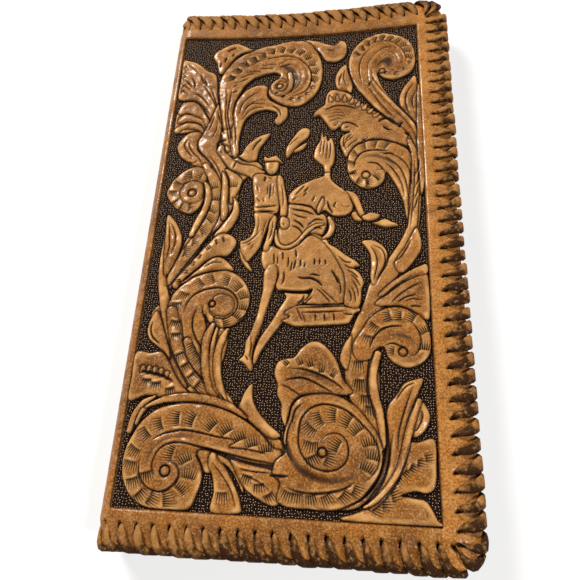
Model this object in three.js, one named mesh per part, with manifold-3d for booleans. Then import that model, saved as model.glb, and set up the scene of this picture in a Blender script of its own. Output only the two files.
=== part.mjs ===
// A long bifold wallet of tooled leather, lying closed on its back cover.
// Millimetres. +Z is up, +Y runs along the wallet and +X runs from the fold to the laced opening edge.
// The origin is at the middle of the closed wallet's base.
import * as THREE from 'three';
import { mergeVertices } from 'three/addons/utils/BufferGeometryUtils.js';
import Module from 'manifold-3d';

const wasm = await Module();
wasm.setup();

// Cover leather: one strip that runs over the front, round the fold and over the back
const COVER_LENGTH = 178;
const COVER_WIDTH = 90; // from the start of the fold to the laced edge
const COVER_THICKNESS = 2.4;
const CORNER_RADIUS = 7;
const SEAM_GAP = 0.3; // between a cover and the spine, which bend as one leather

// Tooled field, pressed down inside its border on both covers
const FIELD_SINK = 0.6;
const FIELD_CORNER = 1;
const BORDER_SIDE = 9;
const BORDER_TOP = 10.3;
const BORDER_BOTTOM = 9;
const BORDER_FOLD = 1.2;

// Flat leather lace, whip stitched over the three open edges
const LACE_WIDTH = 2.4;
const LACE_THICKNESS = 0.8;
const LACE_CLEARANCE = 0.25;
const LACE_BULGE = 0.5; // how far the lace stands off the edge between two stitches
const LACE_SUNK = 0.15; // how far the lace lies below the face of the border
const STITCH_PITCH = 4.4;
const STITCH_SLANT = 1.1;
const HOLE_INSET = 4;
const MARGIN_LAND = 1.2; // skived leather on the inner side of the lacing slits

// Two stitches at each end of the fold
const SPINE_STITCH_ANGLE = THREE.MathUtils.degToRad(40); // either side of the middle of the fold
const SPINE_SLANT = 0.3;
const SPINE_INNER_CLEARANCE = 0.6;

// Inner panels, laced in with the covers to make the two banknote pockets
const LAYER_GAP = 0.3;
const PANEL_THICKNESS = 1.0;
const PANEL_FOLD_CLEARANCE = 6;

// Pockets sewn onto the inner panels
const POCKET_THICKNESS = 0.7;
const CARD_LENGTH = 85.6;
const CARD_EASE = 2.4;
const CARD_MOUTH = 18; // from the fold to the mouth of the rearmost card pocket
const CARD_STEP = 12;
const CARD_POCKETS = ['card_pocket_rear', 'card_pocket_middle', 'card_pocket_front'];
const SLIP_MOUTH = 32;
const NOTCH_WIDTH = 28;
const NOTCH_DEPTH = 6;

// Photo window beside the card pockets
const WINDOW_POCKET_GAP = 2;
const WINDOW_MOUTH = 18;
const WINDOW_FRAME = 9;
const WINDOW_CORNER = 4;
const WINDOW_LAP = 3;
const WINDOW_THICKNESS = 0.3;

// Room between the two halves when the wallet is closed
const HALVES_GAP = 0.6;

// Facets on round stretches
const CORNER_STEPS = 5;
const NOTCH_STEPS = 10;
const FOLD_STEPS = 20;

// Worked out from the sizes above
const SLIT_LENGTH = LACE_WIDTH + 2 * LACE_CLEARANCE;
const SLIT_WIDTH = LACE_THICKNESS + 2 * LACE_CLEARANCE;
const MARGIN_WIDTH = HOLE_INSET + SLIT_WIDTH / 2 + MARGIN_LAND;
const MARGIN_SKIVE = LACE_THICKNESS + LACE_CLEARANCE + LACE_SUNK;
const LACE_REACH = LACE_CLEARANCE + LACE_THICKNESS + LACE_BULGE;
const PANEL_BASE = COVER_THICKNESS + LAYER_GAP;
const PANEL_TOP = PANEL_BASE + PANEL_THICKNESS;
const POCKET_LAYER = LAYER_GAP + POCKET_THICKNESS;
const BACK_STACK = PANEL_TOP + CARD_POCKETS.length * POCKET_LAYER;
const FRONT_STACK = PANEL_TOP + POCKET_LAYER;
const CLOSED_THICKNESS = BACK_STACK + HALVES_GAP + FRONT_STACK;
const FOLD_RADIUS = CLOSED_THICKNESS / 2;
const HALF_LENGTH = COVER_LENGTH / 2;
const POCKET_RIGHT = COVER_WIDTH - MARGIN_WIDTH;
const POCKET_END = HALF_LENGTH - MARGIN_WIDTH;

const toolLeather = { color: 0xa8713c, roughness: 0.55, metalness: 0 };
const innerLeather = { color: 0x8a5a32, roughness: 0.65, metalness: 0 };
const laceLeather = { color: 0x5c3a21, roughness: 0.5, metalness: 0 };
const clearSheet = { color: 0xdfe5e6, roughness: 0.15, metalness: 0, transparent: true, opacity: 0.35 };

// A named mesh with its own material.
function piece(name, geometry, finish) {
  const mesh = new THREE.Mesh(geometry, new THREE.MeshStandardMaterial(finish));
  mesh.name = name;
  return mesh;
}

// A closed geometry as a solid that can be joined and cut.
function solid(geometry) {
  const bare = geometry.clone();
  bare.deleteAttribute('normal');
  bare.deleteAttribute('uv');
  const merged = mergeVertices(bare, 1e-4);
  return new wasm.Manifold(
    new wasm.Mesh({
      numProp: 3,
      vertProperties: merged.attributes.position.array,
      triVerts: new Uint32Array(merged.index.array),
    }),
  );
}

// A solid's surface as a geometry.
function surface(body) {
  const mesh = body.getMesh();
  return new THREE.BufferGeometry()
    .setAttribute('position', new THREE.BufferAttribute(mesh.vertProperties, 3))
    .setIndex(new THREE.BufferAttribute(mesh.triVerts, 1));
}

// A flat plate of the given outline between two heights.
function plate(outline, low, high) {
  const settings = { depth: high - low, bevelEnabled: false };
  return new THREE.ExtrudeGeometry(outline, settings).translate(0, 0, low);
}

// Points along a round stretch. It runs clockwise where it ends at a smaller angle.
function arc(x, y, radius, from, to, steps = CORNER_STEPS) {
  return new THREE.EllipseCurve(x, y, radius, radius, from, to, to < from).getPoints(steps);
}

// Outline of a leather that starts at left and has its two outer corners rounded.
function leatherOutline(left, inset, radius) {
  const right = COVER_WIDTH - inset;
  const end = HALF_LENGTH - inset;
  return new THREE.Shape([
    new THREE.Vector2(left, -end),
    ...arc(right - radius, radius - end, radius, -Math.PI / 2, 0),
    ...arc(right - radius, end - radius, radius, 0, Math.PI / 2),
    new THREE.Vector2(left, end),
  ]);
}

// Points of a rectangle with all four corners rounded.
function roundedRectangle(left, right, low, high, radius) {
  return [
    ...arc(left + radius, low + radius, radius, Math.PI, 1.5 * Math.PI),
    ...arc(right - radius, low + radius, radius, 1.5 * Math.PI, 2 * Math.PI),
    ...arc(right - radius, high - radius, radius, 0, 0.5 * Math.PI),
    ...arc(left + radius, high - radius, radius, 0.5 * Math.PI, Math.PI),
  ];
}

// Pocket leather whose mouth faces the fold and has a thumb notch in its middle.
function pocketOutline(mouth, low, high) {
  const middle = (low + high) / 2;
  const notch = new THREE.QuadraticBezierCurve(
    new THREE.Vector2(mouth, middle + NOTCH_WIDTH / 2),
    new THREE.Vector2(mouth + 2 * NOTCH_DEPTH, middle),
    new THREE.Vector2(mouth, middle - NOTCH_WIDTH / 2),
  );
  return new THREE.Shape([
    new THREE.Vector2(POCKET_RIGHT, low),
    new THREE.Vector2(POCKET_RIGHT, high),
    new THREE.Vector2(mouth, high),
    ...notch.getPoints(NOTCH_STEPS),
    new THREE.Vector2(mouth, low),
  ]);
}

// One stitch: where its slit meets the outer face, the way out over the edge and the way into the leather.
// The lace travels along the edge in the direction that the two ways give.
function stitchAt(hole, out, inward, pitch) {
  return { hole, out, inward, along: new THREE.Vector3().crossVectors(out, inward), pitch };
}

// Evenly spaced places between two ends of a straight edge, half a pitch in from each.
function edgePlaces(start, end) {
  const count = Math.round(Math.abs(end - start) / STITCH_PITCH);
  const step = (end - start) / count;
  const pitch = Math.abs(step);
  return Array.from({ length: count }, (_, i) => ({ place: start + (i + 0.5) * step, pitch }));
}

// Stitches of one half, edge by edge, with one slanting stitch on each outer corner.
function coverStitches() {
  const inward = new THREE.Vector3(0, 0, 1);
  const corner = (CORNER_RADIUS - HOLE_INSET) * Math.SQRT1_2 - CORNER_RADIUS;
  const cornerX = COVER_WIDTH + corner;
  const cornerY = HALF_LENGTH + corner;
  const stitch = (x, y, outX, outY, pitch) => {
    const hole = new THREE.Vector3(x, y, MARGIN_SKIVE);
    return stitchAt(hole, new THREE.Vector3(outX, outY, 0).normalize(), inward, pitch);
  };
  const endRun = edgePlaces(0, cornerX - STITCH_PITCH / 2);
  const sideRun = edgePlaces(cornerY - STITCH_PITCH / 2, STITCH_PITCH / 2 - cornerY);
  const holeX = COVER_WIDTH - HOLE_INSET;
  const holeY = HALF_LENGTH - HOLE_INSET;
  return {
    top: [
      ...endRun.map(({ place, pitch }) => stitch(place, holeY, 0, 1, pitch)),
      stitch(cornerX, cornerY, 1, 1, STITCH_PITCH),
    ],
    side: sideRun.map(({ place, pitch }) => stitch(holeX, place, 1, 0, pitch)),
    bottom: [
      stitch(cornerX, -cornerY, 1, -1, STITCH_PITCH),
      ...endRun.toReversed().map(({ place, pitch }) => stitch(place, -holeY, 0, -1, pitch)),
    ],
  };
}

// Stitches round one end of the fold, in the order that the lace travels.
// end is 1 at the top and -1 at the bottom.
function spineStitches(end) {
  const radius = FOLD_RADIUS - MARGIN_SKIVE;
  return [-end, end].map((side) => {
    const angle = side * SPINE_STITCH_ANGLE;
    const inward = new THREE.Vector3(Math.cos(angle), 0, Math.sin(angle));
    const centre = new THREE.Vector3(0, end * (HALF_LENGTH - HOLE_INSET), FOLD_RADIUS);
    const hole = centre.addScaledVector(inward, -radius);
    return stitchAt(hole, new THREE.Vector3(0, end, 0), inward, 2 * radius * Math.sin(SPINE_STITCH_ANGLE));
  });
}

// A point of a stitch: reach out over the edge, shift along the edge and depth below the outer face.
function stitchPoint({ hole, out, along, inward }, reach, shift, depth) {
  return hole
    .clone()
    .addScaledVector(out, reach)
    .addScaledVector(along, shift)
    .addScaledVector(inward, depth);
}

// Four corners of the lace's section, where the lace turns about the leather that it wraps.
function laceSection(stitch, reach, shift, depth, turnOut, turnIn) {
  const half = LACE_THICKNESS / 2;
  return [1, -1].flatMap((face) =>
    [-face, face].map((edge) =>
      stitchPoint(
        stitch,
        reach + face * turnOut * half,
        shift + (edge * LACE_WIDTH) / 2,
        depth + face * turnIn * half,
      ),
    ),
  );
}

// Sections of an unbroken lace that goes in at each slit, under the leather and back over the edge.
function laceSections(stitches, stack, slant, innerClearance) {
  const half = LACE_THICKNESS / 2;
  const outer = -LACE_CLEARANCE - half;
  const inner = stack + innerClearance + half;
  const edge = HOLE_INSET + LACE_CLEARANCE + half;
  const sections = stitches.flatMap((stitch) => [
    laceSection(stitch, edge, -slant, outer, 1, -1),
    laceSection(stitch, 0, 0, outer, -1, -1),
    laceSection(stitch, 0, 0, inner, -1, 1),
    laceSection(stitch, edge, slant, inner, 1, 1),
    laceSection(stitch, edge + LACE_BULGE, stitch.pitch / 2, (outer + inner) / 2, 1, 0),
  ]);
  return sections.slice(0, -1); // the lace ends on the inner face
}

// Closed surface through a row of four-cornered sections.
function sweep(sections) {
  const corners = sections[0].length;
  const last = (sections.length - 1) * corners;
  const faces = [];
  for (let i = 0; i < last; i += corners) {
    for (let j = 0; j < corners; j += 1) {
      const next = (j + 1) % corners;
      faces.push(i + j, i + next, i + corners + next, i + j, i + corners + next, i + corners + j);
    }
  }
  faces.push(0, 2, 1, 0, 3, 2);
  faces.push(last, last + 1, last + 2, last, last + 2, last + 3);
  return new THREE.BufferGeometry().setFromPoints(sections.flat()).setIndex(faces);
}

// Least distance between corners of the lace that lie a stitch or more apart along it.
function leastGap(sections) {
  const sectionsInStitch = 5;
  let least = Infinity;
  sections.forEach((section, i) => {
    sections.slice(i + sectionsInStitch).forEach((other) => {
      section.forEach((a) => other.forEach((b) => (least = Math.min(least, a.distanceTo(b)))));
    });
  });
  return least;
}

// One length of lace as a named mesh.
function lacing(name, stitches, stack, slant, innerClearance) {
  const sections = laceSections(stitches, stack, slant, innerClearance);
  console.log(`${name}: least gap to itself ${leastGap(sections).toFixed(2)} mm`);
  return piece(name, sweep(sections), laceLeather);
}

// A body with a slit cut right through it at every stitch.
function slit(body, stitches) {
  const cuts = stitches.map(({ hole, out, along, inward }) => {
    const turn = new THREE.Matrix4().makeBasis(along, out, inward).setPosition(hole);
    return solid(new THREE.BoxGeometry(SLIT_LENGTH, SLIT_WIDTH, 2 * PANEL_TOP).applyMatrix4(turn));
  });
  return wasm.Manifold.difference([body, ...cuts]);
}

// A cover: full thickness inside the laced margin, skived where the lace lies, with the tooled field sunk.
function cover(name, stitches) {
  const margin = plate(leatherOutline(SEAM_GAP, 0, CORNER_RADIUS), MARGIN_SKIVE, COVER_THICKNESS);
  const innerCorner = Math.max(CORNER_RADIUS - MARGIN_WIDTH, FIELD_CORNER);
  const block = plate(leatherOutline(SEAM_GAP, MARGIN_WIDTH, innerCorner), 0, COVER_THICKNESS);
  const fieldOutline = roundedRectangle(
    BORDER_FOLD,
    COVER_WIDTH - BORDER_SIDE,
    BORDER_BOTTOM - HALF_LENGTH,
    HALF_LENGTH - BORDER_TOP,
    FIELD_CORNER,
  );
  const field = plate(new THREE.Shape(fieldOutline), -FIELD_SINK, FIELD_SINK);
  const body = solid(margin).add(solid(block)).subtract(solid(field));
  return piece(name, surface(slit(body, stitches)), toolLeather);
}

// One half as it lies with its outer face down: cover, inner panel and the lace on three edges.
function half(name) {
  const rows = coverStitches();
  const stitches = Object.values(rows).flat();
  const stack = PANEL_TOP - MARGIN_SKIVE;
  const panel = plate(leatherOutline(PANEL_FOLD_CLEARANCE, 0, CORNER_RADIUS), PANEL_BASE, PANEL_TOP);
  const group = new THREE.Group();
  group.add(cover(`${name}_cover`, stitches));
  group.add(piece(`${name}_inner_panel`, surface(slit(solid(panel), stitches)), innerLeather));
  Object.entries(rows).forEach(([edge, row]) => {
    group.add(lacing(`${name}_lacing_${edge}`, row, stack, STITCH_SLANT, LACE_CLEARANCE));
  });
  return group;
}

// A bent strip of leather round the fold, of the given outer radius and length.
function foldStrip(radius, length) {
  const outline = new THREE.Shape([
    ...arc(0, FOLD_RADIUS, radius, Math.PI / 2, 1.5 * Math.PI, FOLD_STEPS),
    ...arc(0, FOLD_RADIUS, FOLD_RADIUS - COVER_THICKNESS, 1.5 * Math.PI, Math.PI / 2, FOLD_STEPS),
  ]);
  return plate(outline, -length / 2, length / 2).rotateX(Math.PI / 2);
}

// The fold: full thickness between its skived ends, with a slit for each of its stitches.
function spine(stitches) {
  const full = solid(foldStrip(FOLD_RADIUS, COVER_LENGTH - 2 * MARGIN_WIDTH));
  const body = solid(foldStrip(FOLD_RADIUS - MARGIN_SKIVE, COVER_LENGTH)).add(full);
  return piece('spine', surface(slit(body, stitches)), toolLeather);
}

// Card pockets, one over the other, each with its mouth a step further from the fold.
function cardPockets() {
  const low = -POCKET_END;
  return CARD_POCKETS.map((name, i) => {
    const base = PANEL_TOP + i * POCKET_LAYER + LAYER_GAP;
    const outline = pocketOutline(CARD_MOUTH + i * CARD_STEP, low, low + CARD_LENGTH + CARD_EASE);
    return piece(name, plate(outline, base, base + POCKET_THICKNESS), innerLeather);
  });
}

// Photo pocket: a leather frame over a clear sheet.
function photoWindow() {
  const low = CARD_LENGTH + CARD_EASE + WINDOW_POCKET_GAP - POCKET_END;
  const inFrom = (inset, radius) =>
    roundedRectangle(WINDOW_MOUTH + inset, POCKET_RIGHT - inset, low + inset, POCKET_END - inset, radius);
  const frame = new THREE.Shape(inFrom(0, FIELD_CORNER));
  frame.holes.push(new THREE.Path(inFrom(WINDOW_FRAME, WINDOW_CORNER)));
  const sheet = new THREE.Shape(inFrom(WINDOW_FRAME - WINDOW_LAP, WINDOW_CORNER));
  const sheetBase = PANEL_TOP + LAYER_GAP;
  const frameBase = sheetBase + WINDOW_THICKNESS + LAYER_GAP;
  return [
    piece('window_sheet', plate(sheet, sheetBase, sheetBase + WINDOW_THICKNESS), clearSheet),
    piece('window_pocket', plate(frame, frameBase, frameBase + POCKET_THICKNESS), innerLeather),
  ];
}

// Long slip pocket of the front half.
function slipPocket() {
  const base = PANEL_TOP + LAYER_GAP;
  const outline = pocketOutline(SLIP_MOUTH, -POCKET_END, POCKET_END);
  return piece('front_slip_pocket', plate(outline, base, base + POCKET_THICKNESS), innerLeather);
}

const backHalf = half('back');
backHalf.add(...cardPockets(), ...photoWindow());

// The front half is the mirror image of the back half, laid over it
const frontHalf = half('front');
frontHalf.add(slipPocket());
frontHalf.scale.z = -1;
frontHalf.position.z = CLOSED_THICKNESS;

const foldStitches = { top: spineStitches(1), bottom: spineStitches(-1) };
const fold = new THREE.Group();
fold.add(spine(Object.values(foldStitches).flat()));
Object.entries(foldStitches).forEach(([end, row]) => {
  const stack = COVER_THICKNESS - MARGIN_SKIVE;
  fold.add(lacing(`spine_lacing_${end}`, row, stack, SPINE_SLANT, SPINE_INNER_CLEARANCE));
});

const wallet = new THREE.Group();
wallet.add(backHalf, frontHalf, fold);
wallet.position.x = (FOLD_RADIUS - COVER_WIDTH - LACE_REACH) / 2;
const part = new THREE.Group();
part.add(wallet);

export default part;
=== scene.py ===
"""A long bifold wallet of tooled leather with whip-stitched edges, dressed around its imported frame."""
import logging
import math
from collections.abc import Callable, Sequence
from dataclasses import dataclass
from enum import Enum
from typing import Protocol

import bmesh
import bpy
import numpy as np
from mathutils import Matrix, Vector


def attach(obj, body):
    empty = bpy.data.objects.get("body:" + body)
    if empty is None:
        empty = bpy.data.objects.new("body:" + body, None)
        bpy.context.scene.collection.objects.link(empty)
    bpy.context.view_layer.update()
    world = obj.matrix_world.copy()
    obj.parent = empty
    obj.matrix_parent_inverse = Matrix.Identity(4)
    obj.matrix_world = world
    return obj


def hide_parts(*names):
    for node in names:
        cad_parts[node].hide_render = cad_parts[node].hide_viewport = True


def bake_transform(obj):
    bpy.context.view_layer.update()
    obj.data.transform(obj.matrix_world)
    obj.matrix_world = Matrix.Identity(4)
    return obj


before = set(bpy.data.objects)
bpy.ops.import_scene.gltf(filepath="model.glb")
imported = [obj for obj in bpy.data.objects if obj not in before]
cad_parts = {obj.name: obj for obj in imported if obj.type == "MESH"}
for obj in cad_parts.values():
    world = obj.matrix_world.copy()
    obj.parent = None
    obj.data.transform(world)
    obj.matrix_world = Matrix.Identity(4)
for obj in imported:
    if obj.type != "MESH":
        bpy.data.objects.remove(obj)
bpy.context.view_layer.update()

LOG = logging.getLogger("wallet")
MM = 0.001

Point = tuple[float, float]
Spot = tuple[float, float, float]
Colour = tuple[float, float, float]
Window = tuple[slice, slice]

# Cover leather, in millimetres: u runs from the fold to the laced edge, v along the wallet, n outwards
HALF_LENGTH = 89.0
COVER_WIDTH = 90.0
COVER_THICKNESS = 2.4
FOLD_RADIUS = 6.0
FOLD_X = -42.775
FOLD_END = -0.5 * math.pi * FOLD_RADIUS
CORNER_RADIUS = 7.0
TOP_BOW = 2.2
BOW_START = 10.0
BOW_END = 80.0

# Tooled field and the grid that carries its relief
FIELD_LEFT = -2.26
FIELD_BOTTOM = -80.0
FIELD_WIDTH = 83.2
FIELD_LENGTH = 158.7
FIELD_STEP = 0.222
BACK_FIELD_STEP = 0.42
BORDER_STEP = 0.45
FRONT_PARTS = 3

# Raised pads and the ground round them
GROUND_LEVEL = -1.0
GROUND_BEAT = 0.12
LEAF_LEVEL = -0.5
STEM_LEVEL = -0.66
STEM_CROWN = 0.06
STEM_RIM = 2.0
SHOULDER_WIDTH = 0.65
SHOULDER_HEIGHT = 0.24
PAD_WALL = 0.26
PAD_COVER = 0.7
BEVEL_WIDTH = 1.1
BEVEL_DEPTH = 0.3
LINE_WIDTH = 0.3
LINE_OUT = 0.12
NARROWEST = 0.05

# Cuts and troughs
CUT_TIP = 0.45
CUT_LIP = 0.08
CUT_LIP_OUT = 0.55
LIP_WIDTH = 0.35
DARK_DEPTH = 0.25
TAPER = 0.4
# How strongly the painted shade of a trough darkens the hollows
TROUGH_SHADE = 0.13

# Lines between a few points, what the finish reads as crests and hollows, and the unevenness of handwork
CURVE_STEPS = 5
CREST_REACH = 1.0
HOLLOW_REACH = 2.6
UNEVEN_LENGTHS = (2.6, 3.4, 4.5, 6.0, 8.0, 11.0)
UNEVEN_ROUNDS = 3
UNEVEN_HEIGHT = 0.018
UNEVEN_SEED = 5

# Stamped fans
FAN_HUB = 7.0
FAN_SPREAD = 1.35
FAN_RAMP = 1.6
FAN_FALL = 1.5
FAN_WALL = 0.25
FAN_DEPTH = 1.9
FAN_LIP = 0.35
FAN_LIP_OUT = 0.5
FAN_LINE = 0.6
FAN_LINE_AT = 0.4
FAN_EDGE = 0.7
FAN_CLAIM_ACROSS = 1.3
FAN_CLAIM_ALONG = 1.2
FAN_HEART = 0.3

# Angles in degrees over which an edge shows as sharp
TOOLING_SHARP = 80
BORDER_SHARP = 60
LACE_SHARP = 70
PLAIN_SHARP = 40

# Turns of lace along the edges, and how many lie on each half of the fold
STITCH_PITCH = 4.35
HOLE_INSET = 4.8
FOLD_TURNS = 2
CORNER_TURNS = (64.0, 26.0)


class Side(Enum):
    """Which half of the folded wallet a piece belongs to."""

    FRONT = "front"
    BACK = "back"


class Edge(Enum):
    """The laced edges of a half, in the order that the lace runs."""

    TOP = "top"
    SIDE = "side"
    BOTTOM = "bottom"


@dataclass(frozen=True)
class TurnStyle:
    """How far the turns of an edge lean on the outer face, how wide they are and how dark round the edge."""

    lean: float
    width: float
    dark: float


# The third number darkens the turns round the edge; below nought it lightens them, on the side as painted
# light where the lace bends over the edge
EDGE_STYLE = {
    Edge.TOP: TurnStyle(1.3, 1.2, 0.1),
    Edge.SIDE: TurnStyle(0.2, 0.95, -0.8),
    Edge.BOTTOM: TurnStyle(0.4, 0.95, 0.3),
}

# How dark the lace is: at first, how much it gains, and between which places it gains it
TOP_DARK = (-0.1, 0.3)
SIDE_DARK = (0.45, 0.4, -40.0, 30.0)
BOTTOM_DARK = (0.1, 0.55, 14.0, 30.0)
CORNER_DARK = {Edge.TOP: 0.35, Edge.BOTTOM: 0.6}


def srgb(red: int, green: int, blue: int) -> Colour:
    """A colour as it is seen on a screen, from 0 to 255, as the renderer's linear colour."""
    shares = (value / 255 for value in (red, green, blue))
    return tuple(s / 12.92 if s <= 0.04045 else ((s + 0.055) / 1.055) ** 2.4 for s in shares)


def ease(value: np.ndarray, low: float, high: float) -> np.ndarray:
    """A smooth rise from 0 at low to 1 at high."""
    share = np.clip((value - low) / (high - low), 0, 1)
    return share * share * (3 - 2 * share)


def rounded(share: np.ndarray) -> np.ndarray:
    """A rise from 0 to 1 that is steep at first and ends level."""
    return 1 - (1 - np.clip(share, 0, 1)) ** 2


def bell(distance: np.ndarray, reach: np.ndarray | float) -> np.ndarray:
    """One on a line, fading out on both sides of it."""
    return np.exp(-((distance / reach) ** 2))


def tapered(along: np.ndarray) -> np.ndarray:
    """One in the middle of a line, running out towards both of its ends."""
    return np.clip(4 * along * (1 - along), 0, 1) ** TAPER


def bow(u: np.ndarray, v: np.ndarray) -> np.ndarray:
    """How far the leather's top edge sags at its middle, fading out down the cover."""
    share = np.clip((u - FIELD_LEFT) / FIELD_WIDTH, 0, 1)
    return -TOP_BOW * np.sin(math.pi * share) * ease(v, BOW_START, BOW_END)


def place(u: np.ndarray, v: np.ndarray, n: np.ndarray, side: Side) -> np.ndarray:
    """Where a point of the leather lies in the closed wallet.

    Args:
        u: Distance from the fold towards the laced edge; below zero it runs round the fold.
        v: Distance along the wallet from its middle.
        n: Height over the outer face of the border.
        side: The half that the leather belongs to.

    Returns:
        The points in metres, in the row frame.
    """
    turn = np.clip(-u, 0, None) / FOLD_RADIUS
    x = FOLD_X + np.clip(u, 0, None) - (FOLD_RADIUS + n) * np.sin(turn)
    z = (FOLD_RADIUS + n) * np.cos(turn)
    z = FOLD_RADIUS + z if side is Side.FRONT else FOLD_RADIUS - z
    return np.stack([x, v + bow(u, v), z], -1) * MM


def blurred(values: np.ndarray, reach: int) -> np.ndarray:
    """Values of a grid, each evened out with its neighbours twice over.

    Args:
        values: The grid's values.
        reach: How many neighbours count on each side.

    Returns:
        The evened values.
    """
    for axis in (0, 1, 0, 1):
        wide = np.pad(values, [(reach + 1, reach) if k == axis else (0, 0) for k in (0, 1)], mode="edge")
        sums = np.cumsum(wide, axis=axis)
        size = values.shape[axis]
        ends = np.take(sums, np.arange(2 * reach + 1, 2 * reach + 1 + size), axis)
        values = (ends - np.take(sums, np.arange(size), axis)) / (2 * reach + 1)
    return values


def points_of(text: str) -> np.ndarray:
    """Points written as "x,y x,y", with as many numbers to a point as the line needs, in millimetres."""
    return np.array([[float(number) for number in point.split(",")] for point in text.split()])


def smooth_line(points: np.ndarray, closed: bool) -> np.ndarray:
    """A smooth line through a few points.

    Args:
        points: The points that the line passes through.
        closed: Whether the line comes back to its first point.

    Returns:
        The points of the line, close together.
    """
    if closed:
        padded = np.vstack([points[-1:], points, points[:2]])
    else:
        first = 2 * points[0] - points[1]
        last = 2 * points[-1] - points[-2]
        padded = np.vstack([first, points, last])
    shares = np.linspace(0, 1, CURVE_STEPS, endpoint=False)[:, None]
    runs = []
    for before, start, end, after in zip(padded, padded[1:], padded[2:], padded[3:]):
        bend = 2 * before - 5 * start + 4 * end - after
        twist = 3 * (start - end) + after - before
        runs.append(start + 0.5 * shares * (end - before + shares * (bend + shares * twist)))
    line = np.vstack(runs)
    return np.vstack([line, line[:1] if closed else points[-1:]])


def lengths(line: np.ndarray) -> np.ndarray:
    """How far along a line each of its points lies."""
    return np.concatenate([[0], np.cumsum(np.linalg.norm(np.diff(line, axis=0), axis=1))])


@dataclass
class Nearness:
    """How a window of the field lies to a line: distance, side and place along it."""

    distance: np.ndarray
    side: np.ndarray
    along: np.ndarray


def near(x: np.ndarray, y: np.ndarray, line: np.ndarray) -> Nearness:
    """Distance, side and place along the line of each point.

    Args:
        x: The points' places across the field.
        y: The points' places up the field.
        line: The points of the line.

    Returns:
        The distance, the side (1 on the left, -1 on the right) and the share of the line's length.
    """
    start, step = line[:-1], np.diff(line, axis=0)
    length = np.hypot(step[:, 0], step[:, 1]) + 1e-9
    run = np.concatenate([[0], np.cumsum(length)])
    best = np.full(x.shape, np.inf)
    side, along = np.ones(x.shape), np.zeros(x.shape)
    for (sx, sy), (dx, dy), size, before in zip(start, step, length, run):
        share = np.clip(((x - sx) * dx + (y - sy) * dy) / size**2, 0, 1)
        ox, oy = x - sx - share * dx, y - sy - share * dy
        distance = np.hypot(ox, oy)
        closer = distance < best
        best = np.where(closer, distance, best)
        side = np.where(closer, np.sign(dx * oy - dy * ox), side)
        along = np.where(closer, before + share * size, along)
    return Nearness(best, side, along / run[-1])


def inside(x: np.ndarray, y: np.ndarray, line: np.ndarray) -> np.ndarray:
    """Whether each point lies inside a closed line.

    Args:
        x: The points' places across the field.
        y: The points' places up the field.
        line: The points of the line.

    Returns:
        True or false for each point.
    """
    found = np.zeros(x.shape, bool)
    for (ax, ay), (bx, by) in zip(line[:-1], line[1:]):
        if ay == by:
            continue
        crosses = (ay > y) != (by > y)
        found ^= crosses & (x < ax + (y - ay) * (bx - ax) / (by - ay))
    return found


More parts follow.
